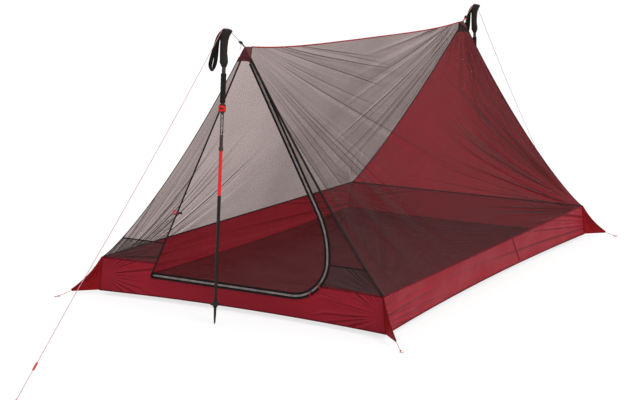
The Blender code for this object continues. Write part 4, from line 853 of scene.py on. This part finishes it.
def ridge_between_patches(share):
    return ridge(RIDGE_START + share * (1 - 2 * RIDGE_START))


def gusset_tip(side, end):
    return hem_corner(side, end) + Vector((side * GUSSET_REACH, end * GUSSET_REACH, 0))


def patch_corners(end):
    return [hip(-1, end, HIP_END), hip(1, end, HIP_END), ridge(RIDGE_START if end < 0 else 1 - RIDGE_START)]


def patch_axis(end):
    """The middle of a patch's rim, its direction out of the peak and where its top is."""
    middle = sum(patch_corners(end), Vector()) / 3
    outward = (peak(end) - middle).normalized()
    return middle, outward, peak(end) - outward * PATCH_DROP


def on_door_plane(x, height, out=0.0):
    return Vector((x, DOOR_PLANE_Y + height * math.tan(DOOR_TILT), height)) + DOOR_OUT * out


def hinge_x(height):
    return HINGE_FOOT_X + (height - SILL_Z) / (DOOR_TOP_Z - SILL_Z) * (HINGE_TOP_X - HINGE_FOOT_X)


def beside_hinge(height, aside=0.0, out=0.0):
    return on_door_plane(hinge_x(height) + aside, height, out)


def zip_path(offset, top=DOOR_TOP_Z):
    """The zip's track in its plane, moved outward by offset."""
    corner = Vector((ZIP_FAR_X - ZIP_CORNER, SILL_Z + ZIP_CORNER))
    bend = Vector((ZIP_FAR_X - ZIP_BEND, corner.y))
    low = SILL_Z - offset
    path = straight(Vector((HINGE_FOOT_X, low)), Vector((corner.x, low)), ZIP_STEPS)[:-1]
    for share in shares(ZIP_STEPS):
        angle = (share - 1) * math.pi / 2
        path.append(corner + (ZIP_CORNER + offset) * Vector((math.cos(angle), math.sin(angle))))
    for share in shares(ZIP_STEPS, 1):
        angle = share * ZIP_LEAN
        path.append(bend + (ZIP_BEND + offset) * Vector((math.cos(angle), math.sin(angle))))
    foot, rise = path[-1].copy(), top - path[-1].y
    path += [foot + Vector((-rise * math.tan(ZIP_LEAN), rise)) * share for share in shares(ZIP_STEPS, 1)]
    return path


def beside_zip(height, offset=ZIP_OUTER):
    """The place of the zip's track at a height, moved outward by offset."""
    path = zip_path(offset)
    for start, end in zip(path, path[1:]):
        if start.y <= height <= end.y and end.y > start.y:
            return on_door_plane(start.lerp(end, (height - start.y) / (end.y - start.y)).x, height)
    return on_door_plane(path[-1].x, height)


# Cords

def add_cord(name, points, diameter, material, slot):
    piece = add_round(name, points, diameter / 2, 8, material, slot, replaces=True)
    tuple(points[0])
    length_of(points)
    [tuple(point) for point in points]


def pole_foot(end):
    return Vector((0, end * POLE_FOOT_Y, POLE_POINT * math.sin(POLE_LEAN)))


def pole_head(end):
    return pole_foot(end) + POLE_LENGTH * Vector((0, -end * math.sin(POLE_LEAN), math.cos(POLE_LEAN)))


def guy_eye(end):
    fall = pole_head(end).z / (GUY_REACH - POLE_HEAD_STAND)
    reach, lift = GUY_EYE_LIFT
    return Vector((0, end * (HEM_Y + GUY_REACH), reach * fall / math.sqrt(1 + fall ** 2) + lift))


def guy_route(end):
    """The guyline from the buckle over the pole's head to its eye, and the tab's foot and direction."""
    _, outward, top = patch_axis(end)
    tab_foot = top + outward * TAB_STAND
    saddle = pole_head(end) + UP * HEAD_STAND
    bend, drop = Vector((0, end * SADDLE_BEND, 0)), UP * SADDLE_DROP
    inner, shoulder = saddle - bend - drop, saddle + bend - drop
    slope = (inner - tab_foot).normalized()
    lock_end = tab_foot + slope * (TAB_LENGTH + LOCK_LENGTH + 2 * CORD_GAP)
    eye = guy_eye(end)
    along = (shoulder - eye).normalized()
    line_end = eye + along * (GUY_LOOP + GUY_NECK + CORD_GAP)
    straight_top = line_end + along * GUY_STRAIGHT
    before, after = inner - slope * SADDLE_BEND, shoulder - along * SADDLE_BEND
    points = straight(lock_end, before, 4)[:-1]
    points += catmull([before, inner, saddle, shoulder, after], 5)[:-1]
    points += points_on(bowed_line(after, straight_top, -UP * GUY_SAG), 40)
    points += straight(straight_top, line_end, 6, 1)
    return points, tab_foot, slope


def make_corner_cord(side, end, name):
    """A short line from the gusset's tip along the ground, with an end loop and the knot that ties it."""
    out = Vector((side, end, 0)).normalized()
    across = Vector((-out.y, out.x, 0))
    start = gusset_tip(side, end) + out * (CORD_GAP + CORNER_CORD / 4) + UP * CORNER_LIFT
    throat = Vector((start.x, start.y, CORNER_CORD / 2)) + out * CORNER_LENGTH
    route = straight(start, throat, 8)
    for share in shares(21)[1:-1]:
        angle = math.pi + share * math.tau * CORNER_TURN
        route.append(throat + CORNER_LOOP * (out + turned(out, across, angle)))
    add_cord(name + "_line", route, CORNER_CORD, "corner_line", name)
    knot = []
    for share in shares(41)[:-1]:
        turn = share * KNOT_TURNS
        swing = turned(across, UP, math.tau * turn) * KNOT_RADIUS
        knot.append(throat + out * (KNOT_PITCH * turn - KNOT_START) + swing + UP * KNOT_LIFT)
    add_round(name + "_knot", knot, CORNER_CORD / 2, 6, "red_line", name)


def make_cords():
    for word, end in ENDS:
        name = "guyline_" + word
        points, _, _ = guy_route(end)
        add_cord(name + "_cord", points, GUYLINE, "guyline", name)
        for side_word, side in SIDES:
            make_corner_cord(side, end, "corner_cord_%s_%s" % (word, side_word))


# The tent's cloth

def front_rim():
    """The front wall's upper edge with the door's notch, and where each of its points stands on the hem."""
    low = SILL_Z - ZIP_OUTER
    seam, foot = beside_hinge(RIM_Z, -SEAM_GAP), beside_hinge(low, -SEAM_GAP)
    corner = on_door_plane(ZIP_FAR_X - ZIP_CORNER, low)
    left, down, rest = NOTCH_COLUMNS
    upper = straight(rim_corner(-1, -1), seam, left) + straight(seam, foot, down, 1)
    upper += straight(foot, corner, 2 * rest, 1)
    upper += [on_door_plane(*place) for place in zip_path(ZIP_OUTER)[ZIP_STEPS + 1:] if place.y < RIM_Z]
    upper += straight(beside_zip(RIM_Z), rim_corner(1, -1), 20)
    lean = [NOTCH_SPREAD * share for share in shares(left)]
    lean += [NOTCH_SPREAD - NOTCH_STEP * share for share in shares(down, 1)]
    lean += [NOTCH_REST * (1 - share) for share in shares(rest, 1)]
    lean += [0.0] * (len(upper) - len(lean))
    return upper, [point.x - shift for point, shift in zip(upper, lean)]


def make_walls():
    for word, end in ENDS:
        bottom, top, columns, area = hem_end(end), rim_end(end), 110, None
        if end < 0:
            upper, below = front_rim()
            columns, area = len(upper) - 1, FRONT_WALL_AREA
            top = polyline(upper)
            bottom = polyline([bottom((x + RIM_X) / (2 * RIM_X)) for x in below])
        surface = coons(bottom, top, wall_corner(-1, end), wall_corner(1, end))
        relief = radial_relief(END_WALL_FANS, 11.0 + end, REAR_WALL_DEPTH if end > 0 else FRONT_WALL_DEPTH)
        add_sheet("wall_%s_cloth" % word, cloth_mesh(surface, columns, 14, END_WALL_MAP, relief), "wall_end",
                  "bathtub_wall_" + word, END_WALL_CUT, area)
    for word, side in SIDES:
        surface = coons(hem_side(side), rim_side(side), wall_corner(side, -1), wall_corner(side, 1))
        relief = radial_relief(SIDE_WALL_FANS, 21.0 + side, SIDE_WALL_DEPTH)
        add_sheet("wall_%s_cloth" % word, cloth_mesh(surface, 170, 14, SIDE_WALL_MAP, relief), "wall_side",
                  "bathtub_wall_" + word, SIDE_WALL_CUT)


def make_floor():
    flat = coons(hem_end(-1), hem_end(1), hem_side(-1), hem_side(1))

    def surface(u, v):
        place = flat(u, v)
        across = (1 - abs(place.x) / (HEM_X - HEM_BOW_SIDE)) * HEM_X
        along = (1 - abs(place.y) / (HEM_Y - HEM_BOW_END)) * HEM_Y
        climb = 1 - min(max(min(across, along) / FLOOR_CLIMB, 0), 1)
        bump = max(ripple(place.x, place.y, FLOOR_RIPPLES), 0)
        place.z = FLOOR_SKIN + (HEM_Z - FLOOR_SKIN) * climb ** 2 + FLOOR_RIPPLE * bump * (1 - climb)
        return place

    mesh = cloth_mesh(surface, 90, 150, FLOOR_CUT)
    add_sheet("floor_cloth", mesh, "floor", "floor", FLOOR_CUT)


def make_roof():
    for (word, side), fans in zip(SIDES, (LEFT_ROOF_FANS, RIGHT_ROOF_FANS)):
        upper = [hip(side, -1, HIP_END), *points_on(ridge_between_patches, 38), hip(side, 1, HIP_END)]
        surface = coons(rim_side(side), polyline(upper), hip_stretch(side, -1, 0, HIP_END),
                        hip_stretch(side, 1, 0, HIP_END))
        mesh = cloth_mesh(surface, 160, 84, ROOF_MAP, radial_relief(fans, 31.0 + side, ROOF_DEPTH))
        add_sheet("roof_%s_mesh" % word, mesh, "roof_" + word, "mesh_roof_" + word, ROOF_CUT)


def make_rear():
    surface = between_hips(rim_end(1), 1, 0)
    mesh = cloth_mesh(surface, 90, 70, REAR_MAP, radial_relief(REAR_FANS, 44.0, REAR_DEPTH))
    add_sheet("rear_cloth", mesh, "rear", "rear_wall", REAR_CUT, REAR_AREA)


def make_front_panels():
    """The fixed netting beside the door: the finer netting at each corner, and the netting above its seam."""
    for (word, side), beside, head in zip(SIDES, (beside_hinge, beside_zip), (HIP_END, FRONT_RIGHT_HEAD)):
        for part, material, start, stop, rows in (("corner", "fine", 0.0, CROSS_SHARE, 12),
                                                  ("upper", "front", CROSS_SHARE, head, 80)):
            hip_side = points_on(hip_stretch(side, -1, start, stop), rows)
            door_side = [beside(place.z) for place in hip_side]
            surface = coons(line(hip_side[0], door_side[0]), line(hip_side[-1], door_side[-1]),
                            polyline(hip_side), polyline(door_side))
            size = ((door_side[0] - hip_side[0]).length, hip_side[-1].z - hip_side[0].z)
            mesh = cloth_mesh(surface, 24, rows, size, radial_relief(FRONT_FANS, 51.0 + side, FRONT_DEPTH))
            add_sheet("front_%s_%s_mesh" % (word, part), mesh, material, "mesh_front_" + word,
                      cut_size(hip_side, door_side), area_of(mesh))


def cut_size(first, second):
    """The rectangle along the first side that a panel between two sides is cut from: across and along."""
    run = (first[-1] - first[0]).normalized()
    along = [(place - first[0]).dot(run) for place in first + second]
    across = [(place - first[0] - run * reach).length for place, reach in zip(first + second, along)]
    return max(across), max(along) - min(along)


def make_door():
    low = SILL_Z + ZIP_OUTER

    def surface(u, v):
        height = low + (DOOR_TOP_Z - low) * v ** 2
        return beside_hinge(height, SEAM_GAP).lerp(beside_zip(height, -ZIP_OUTER), u)

    def relief(x, y, u, v):
        return DOOR_RIPPLE * ripple(x, y, DOOR_RIPPLES) * edge_fade(u, v, DOOR_FADE, DOOR_FADE)

    mesh = cloth_mesh(surface, 60, 90, DOOR_MAP, relief)
    uv_map = mesh.uv_layers["UVMap"]
    for loop in mesh.loops:
        place = mesh.vertices[loop.vertex_index].co
        uv_map.data[loop.index].uv = (place.x - HINGE_FOOT_X, place.z - SILL_Z)
    add_sheet("door_mesh", mesh, "door", "door_panel", DOOR_CUT, DOOR_AREA, body="door")


def make_patches():
    """Cloth caps over the peaks, with a rolled edge, as in the solids."""
    for word, end in ENDS:
        middle, outward, top = patch_axis(end)
        corners = patch_corners(end)
        rim = polyline(corners + corners[:1])

        def surface(u, v):
            off = rim(u) - middle
            bulge = off.normalized() * (math.sin(math.pi * v) * PATCH_BULGE)
            return rim(u).lerp(top + off * PATCH_TOP_SHARE, v) + bulge

        mesh = cloth_mesh(surface, 48, 10, PATCH_MAP)
        bm = bmesh.new()
        bm.from_mesh(mesh)
        bmesh.ops.remove_doubles(bm, verts=bm.verts, dist=SAME_PLACE)
        hole = [edge for edge in bm.edges if edge.is_boundary and edge.verts[0].co.z > middle.z + PATCH_HOLE]
        bmesh.ops.holes_fill(bm, edges=hole, sides=0)
        bmesh.ops.recalc_face_normals(bm, faces=bm.faces)
        slot = "peak_patch_" + word
        cap = add_sheet(slot + "_cloth", to_mesh(bm), "patch", slot, PATCH_CUT)
        thicken(cap, PATCH_THICKNESS, offset=-1)
        add_strip(slot + "_hem", points_on(rim, 60)[:-1], PATCH_HEM, "patch", slot, outward, closed=True)
        make_patch_skirt(slot, end)


def make_patch_skirt(slot, end):
    """The patch's lower part, which comes down over the end panel with an arched edge."""
    left, right = (hip(side, end, SKIRT_FOOT) for side in (-1, 1))
    surface = between_hips(bowed_line(left, right, UP * SKIRT_ARCH), end, SKIRT_FOOT)
    size = ((right - left).length, (hip(1, end, HIP_END) - right).length)
    mesh = cloth_mesh(surface, 20, 6, size, shift=SKIRT_STAND)
    add_sheet(slot + "_skirt", mesh, "patch", slot, size, area_of(mesh), replaces=False)


def make_gussets():
    """A fin of two layers at each corner, which meet at its tip, with a bound upper edge."""
    for end_word, end in ENDS:
        for side_word, side in SIDES:
            foot, head = hem_corner(side, end), rim_corner(side, end)
            tip = gusset_tip(side, end)
            tip_top = tip + UP * GUSSET_LIFT
            across = Vector((-end, side, 0)).normalized()
            sag = Vector((-side, -end, -1)) * GUSSET_SAG
            name = "corner_gusset_%s_%s" % (end_word, side_word)
            for word, layer in (("inner", -1), ("outer", 1)):
                apart = across * layer * GUSSET_FOOT_HALF
                at_head, at_tip = apart * GUSSET_HEAD_SHARE, apart * GUSSET_TIP_SHARE
                surface = coons(line(foot + apart, tip + at_tip),
                                bowed_line(head + at_head, tip_top + at_tip, sag),
                                line(foot + apart, head + at_head), line(tip + at_tip, tip_top + at_tip))
                relief = radial_relief(GUSSET_FANS, 70 + layer + side * 3 + end * 5, GUSSET_DEPTH)
                mesh = cloth_mesh(surface, 24, 24, GUSSET_MAP, relief)
                add_sheet("%s_layer_%s" % (name, word), mesh, "gusset", name, GUSSET_CUT, GUSSET_AREA)
            edge = points_on(bowed_line(head, tip_top, sag), 20)
            add_strip(name + "_edge", edge, GUSSET_EDGE, "gusset", name, across)


# Seams, zip and tieback

def make_end_seams(word, end):
    wall = "bathtub_wall_" + word
    for side_word, side in SIDES:
        add_strip("hip_binding_%s_%s" % (word, side_word), points_on(hip_stretch(side, end, 0, HIP_END), 60),
                  ZIP_SIDE_BINDING if end < 0 < side else HIP_BINDING, "hem" if side > 0 < end else "binding",
                  "zip_tape_frame", Vector((side * HIP_OUT[0], end * HIP_OUT[1], HIP_OUT[2])))
        add_strip("corner_seam_%s_%s" % (word, side_word), points_on(wall_corner(side, end), 8), CORNER_SEAM,
                  "hem", wall, Vector((side, end, 0)))
    add_strip("hem_" + word, points_on(hem_end(end), 60), HEM_BINDING, "hem", wall, BACK * end)


def make_seams():
    for word, end in ENDS:
        make_end_seams(word, end)
    add_strip("rim_seam_rear", points_on(rim_end(1), 20), REAR_RIM, "binding", "rear_wall", BACK)
    left = straight(rim_corner(-1, -1), beside_hinge(RIM_Z), 10)
    right = straight(beside_zip(RIM_Z, ZIP_HALF), rim_corner(1, -1), 10)
    add_strip("rim_seam_front_left", left, FRONT_RIM, "hem", "mesh_front_left", -BACK)
    add_strip("rim_seam_front_right", right, FRONT_RIM, "hem", "mesh_front_right", -BACK)
    for word, side in SIDES:
        add_strip("rim_seam_" + word, points_on(rim_side(side), 40), SIDE_RIM,
                  "binding" if side < 0 else "hem", "mesh_roof_" + word, RIGHT * side + UP * SIDE_RIM_LIFT)
        add_strip("hem_" + word, points_on(hem_side(side), 80), HEM_BINDING, "hem", "bathtub_wall_" + word,
                  RIGHT * side)
    foot, head = HINGE_SEAM_ENDS
    hinge = [beside_hinge(foot + (head - foot) * share, 0.0, HINGE_SEAM_STAND) for share in shares(40)]
    add_strip("hinge_seam", hinge, HINGE_BINDING, "binding", "zip_tape_frame", DOOR_OUT)
    height = RIM_Z + CROSS_SEAM
    left = straight(hip(-1, -1, CROSS_SHARE), beside_hinge(height), 8)
    right = straight(beside_zip(height, ZIP_HALF), hip(1, -1, CROSS_SHARE), 8)
    add_strip("cross_seam_left", left, CROSS_BINDING, "binding", "mesh_front_left", -BACK)
    add_strip("cross_seam_right", right, CROSS_BINDING, "binding", "mesh_front_right", -BACK)
    add_round("ridge_cord_piping", points_on(ridge_between_patches, 60), PIPING_RADIUS, 12, "piping",
              "ridge_piping", replaces=True)
    wall = [on_right_wall(*place) for place in straight(WALL_SEAM_HEAD, WALL_SEAM_FOOT, 12)]
    add_strip("side_wall_seam", wall, SIDE_SEAM, "hem", "bathtub_wall_right", RIGHT)


def on_right_wall(share, up):
    """A place on the right bathtub wall: share of its length from the front, and share of its height."""
    return hem_side(1)(share).lerp(rim_side(1)(share), up) + RIGHT * WALL_SEAM_STAND


def clear_of_hinge(place, gap):
    """A place in the door's plane, moved right where it is nearer to the hinge than gap."""
    return Vector((max(place.x, hinge_x(place.y) + gap), place.y))


def make_tape(name, near, far, body, slot):
    """A flat zip tape between two paths in the door's plane."""
    bm = bmesh.new()
    uv_map = bm.loops.layers.uv.new("UVMap")
    rows, run = [], 0.0
    for index, (first, second) in enumerate(zip(near, far)):
        if index:
            run += (first - near[index - 1]).length
        rows.append((bm.verts.new(on_door_plane(*first)), bm.verts.new(on_door_plane(*second)), run,
                     (second - first).length))
    for before, after in zip(rows, rows[1:]):
        add_face(bm, uv_map, (before[0], before[1], after[1], after[0]),
                 ((0, before[2]), (before[3], before[2]), (after[3], after[2]), (0, after[2])))
    thicken(add_piece(name, to_mesh(bm), "tape", slot, body, replaces=True), TAPE_THICKNESS)


def make_zip():
    """Two tapes with half a coil each, one on the door and one on the tent, and two sliders."""
    inner = [clear_of_hinge(place, SEAM_GAP) for place in zip_path(-ZIP_HALF)]
    outer = zip_path(ZIP_HALF)
    for place in outer:         # its upper half stays inside the hip seam
        share = (place.y - RIM_Z) / (PEAK_Z - RIM_Z)
        if share > 0.5:
            place.x = min(place.x, hip(1, -1, share).x - SEAM_GAP)
    make_tape("zip_tape_on_door", zip_path(-ZIP_SPLIT), inner, "door", "zip_tape_door")
    make_tape("zip_tape_on_tent", zip_path(ZIP_SPLIT), outer, "tent", "zip_tape_frame")
    for word, side, body in (("door", -1, "door"), ("frame", 1, "tent")):
        path = [on_door_plane(*place, COIL_STAND) for place in zip_path(side * COIL_OFFSET)]
        path[0] = path[0].lerp(path[1], COIL_START)
        add_strip("zip_coil_" + word, path, COIL, "coil", "zip_tape_" + word, DOOR_OUT, body)
        path = [on_door_plane(*clear_of_hinge(place, ZIP_BINDING_CLEAR), ZIP_BINDING_STAND)
                for place in zip_path(side * ZIP_BINDING_OFFSET, DOOR_TOP_Z - ZIP_BINDING_TOP)
                if side < 0 or place.y < FRAME_BINDING_HEAD]
        add_strip("zip_binding_" + word, path, ZIP_BINDING, "tape", "zip_tape_" + word, DOOR_OUT, body)
    for word, angle in SLIDER_ANGLES.items():
        make_slider(word, angle)


def make_slider(word, angle):
    """A slider on the zip's round corner: a tapered body, a bridge over it and a pull that hangs from it."""
    radial, along = turned(RIGHT, DOOR_UP, angle), turned(DOOR_UP, -RIGHT, angle)
    middle = on_door_plane(ZIP_FAR_X - ZIP_CORNER, SILL_Z + ZIP_CORNER) + radial * ZIP_CORNER
    spine, half = middle + DOOR_OUT * SLIDER_STAND, along * SLIDER_HALF
    mesh = sweep(straight(spine - half, spine + half, 12), flat_profile(*SLIDER_BODY), DOOR_OUT)
    for vertex in mesh.vertices:
        reach = abs((vertex.co - middle).dot(along)) / SLIDER_HALF
        narrowing = SLIDER_TAPER * max(0.0, reach - 0.5)
        vertex.co -= radial * ((vertex.co - middle).dot(radial) * narrowing)
    name, body = "zip_slider_" + word, "slider_" + word
    add_piece(name + "_body", mesh, "slider", name, body, replaces=True)
    arch = [turned(along * BRIDGE_HALF, DOOR_OUT * BRIDGE_RISE, math.pi * share) for share in shares(10)]
    bridge = [middle + DOOR_OUT * BRIDGE_STAND + rise for rise in arch]
    add_strip(name + "_bridge", bridge, SLIDER_BRIDGE, "slider", name, radial, body)
    side = 1 if word == "upper" else -1
    pull = [middle + DOOR_OUT * out + Vector((side * aside, 0, -down)) for out, aside, down in PULL_ROUTE]
    add_strip(name + "_pull", catmull(pull, 5), SLIDER_PULL, "tab", name, DOOR_OUT, body)


def make_tieback():
    """A tied cord loop on the hinge seam, and the toggle that holds the rolled door."""
    seam = beside_hinge(TIEBACK_Z)
    middle = seam - RIGHT * TIEBACK_ASIDE + DOOR_OUT * TIEBACK_STAND
    loop = [middle + TIEBACK_LOOP * turned(RIGHT, DOOR_UP * TIEBACK_SQUASH, math.tau * share)
            for share in shares(28)[:-1]]
    add_round("tieback_cord_loop", loop, TIEBACK_CORD, 8, "red_line", "tieback_loop", replaces=True,
              closed=True)
    knot = []
    right, up, out = TIEBACK_KNOT
    for turn in (math.tau * share for share in shares(30)[:-1]):
        knot.append(middle + RIGHT * (TIEBACK_KNOT_ASIDE + right * math.sin(turn * 2))
                    + DOOR_UP * up * math.cos(turn * 3) + DOOR_OUT * out * math.sin(turn))
    add_round("tieback_knot", knot, TIEBACK_KNOT_CORD, 6, "red_line", "tieback_loop", closed=True)

    axis = seam + DOOR_OUT * TOGGLE_STAND
    places = [axis + RIGHT * (TOGGLE_START + TOGGLE_LENGTH * share) for share in shares(TOGGLE_STEPS)]
    mesh = sweep(places, round_profile(1.0, TOGGLE_SIDES), DOOR_OUT)
    for index, vertex in enumerate(mesh.vertices):
        ring = index // TOGGLE_SIDES
        off = abs(ring / TOGGLE_STEPS - 0.5)
        waist = TOGGLE_WAIST if off < TOGGLE_WAIST_HALF else 1
        radius = TOGGLE_RADIUS * (1 - (2 * off) ** 6 * TOGGLE_END) * waist
        vertex.co = places[ring] + (vertex.co - places[ring]) * radius
    add_piece("tieback_bar", mesh, "toggle", "tieback_toggle", "toggle", replaces=True)


# Hardware of the peaks and the guylines

def make_peak_hardware():
    for word, end in ENDS:
        _, tab_foot, slope = guy_route(end)
        out = slope.cross(RIGHT).normalized()
        if out.z < 0:
            out = -out
        tab = straight(tab_foot, tab_foot + slope * TAB_LENGTH, 8)
        add_strip("peak_webbing_" + word, tab, TAB_WEBBING, "tab", "peak_tab_" + word, out, replaces=True)
        lock = tab_foot + slope * (TAB_LENGTH + CORD_GAP + LOCK_LENGTH / 2)
        bar = [lock + RIGHT * x + out * LOCK_BAR_STAND for x in LOCK_BAR_PLACES]
        add_strip("line_lock_bar_" + word, bar, LOCK_BAR, "plastic", "line_lock_" + word, out)
        tail = [lock - slope * back - out * down for back, down in TAIL_ROUTE]
        add_round("tail_" + word, catmull(tail, 6), GUYLINE / 2, 8, "corner_line", "line_lock_" + word)
        for name, material in HARDWARE_STUFF.items():
            repaint(name + word, material)


# Trekking poles

def pole_frame(end):
    tilt = Matrix.Rotation(end * POLE_LEAN, 3, 'X') @ Matrix.Rotation(POLE_TURN, 3, 'Z')
    return Matrix.Translation(pole_foot(end)) @ tilt.to_4x4()


def make_wrist_strap(word, end):
    """The webbing loop on the grip's head: broad faces to front and back, and a half turn at its foot."""
    place = pole_frame(end)
    across, depth, rise = (place.to_3x3() @ Vector(axis) for axis in ((1, 0, 0), (0, 1, 0), (0, 0, 1)))
    hinge = place @ Vector(STRAP_HINGE)
    places = catmull([hinge + across * x + depth * y + rise * z for x, y, z in STRAP_ROUTE], 8)
    last = len(places) - 1
    turn_start, turn_share = STRAP_TURN
    asides = []
    for share, tangent in zip(shares(last), directions(places, closed=False)):
        turn = min(max((share - turn_start) / turn_share, 0.0), 1.0) * math.pi
        asides.append(turned(depth.cross(tangent), depth, turn))

    def surface(u, v):
        index = round(v * last)
        return places[index] + asides[index] * ((u - 0.5) * STRAP_WIDTH)

    size = (STRAP_WIDTH, length_of(places))
    name = word + "_pole_wrist_strap"
    strap = add_sheet(name + "_webbing", cloth_mesh(surface, 4, last, size), "strap", name, size,
                      body=word + "_strap")
    thicken(strap, STRAP_THICKNESS)


def bands_on_tube(place, radius, bands):
    """Thin bands on a tube's skin. Each is (height, half of its width, first angle, last angle)."""
    bm = bmesh.new()
    for height, half, first, last in bands:
        rows = []
        for share in shares(8):
            angle = first + (last - first) * share
            spot = turned(RIGHT, BACK, angle) * radius
            rows.append([bm.verts.new(place @ (spot + UP * rise)) for rise in (height - half, height + half)])
        for before, after in zip(rows, rows[1:]):
            bm.faces.new((before[0], after[0], after[1], before[1]))
    return to_mesh(bm)


def make_pole_marks(word, end):
    """The strokes of the length scale on the middle shaft, and a dark band on the lever, which is painted
    shade for its slot.
    """
    place = pole_frame(end)
    strokes = []
    for index in range(SCALE_MARKS):
        turn = SHORT_MARK_TURN if index % LONG_MARK else LONG_MARK_TURN
        height = SCALE_HEAD - index * SCALE_PITCH
        strokes.append((height, MARK_HALF, -math.pi / 2 - turn, -math.pi / 2 + turn))
    add_piece(word + "_pole_scale", bands_on_tube(place, SCALE_SKIN, strokes), "marks",
              word + "_pole_middle_shaft", word + "_pole_shaft")
    add_piece(word + "_pole_lever_slot", bands_on_tube(place, LEVER_SKIN, [LEVER_SLOT_SHADE]), "plastic",
              word + "_pole_lever", word + "_clamp_lever")


def make_poles():
    for word, end in ENDS:
        for part, material in POLE_STUFF.items():
            repaint("%s_pole_%s" % (word, part), material)
        make_wrist_strap(word, end)
        make_pole_marks(word, end)


make_camera()
make_light()
make_ground()
stuff = make_materials()
make_cords()
make_walls()
make_floor()
make_roof()
make_rear()
make_front_panels()
make_door()
make_patches()
make_gussets()
make_seams()
make_zip()
make_tieback()
make_peak_hardware()
make_poles()
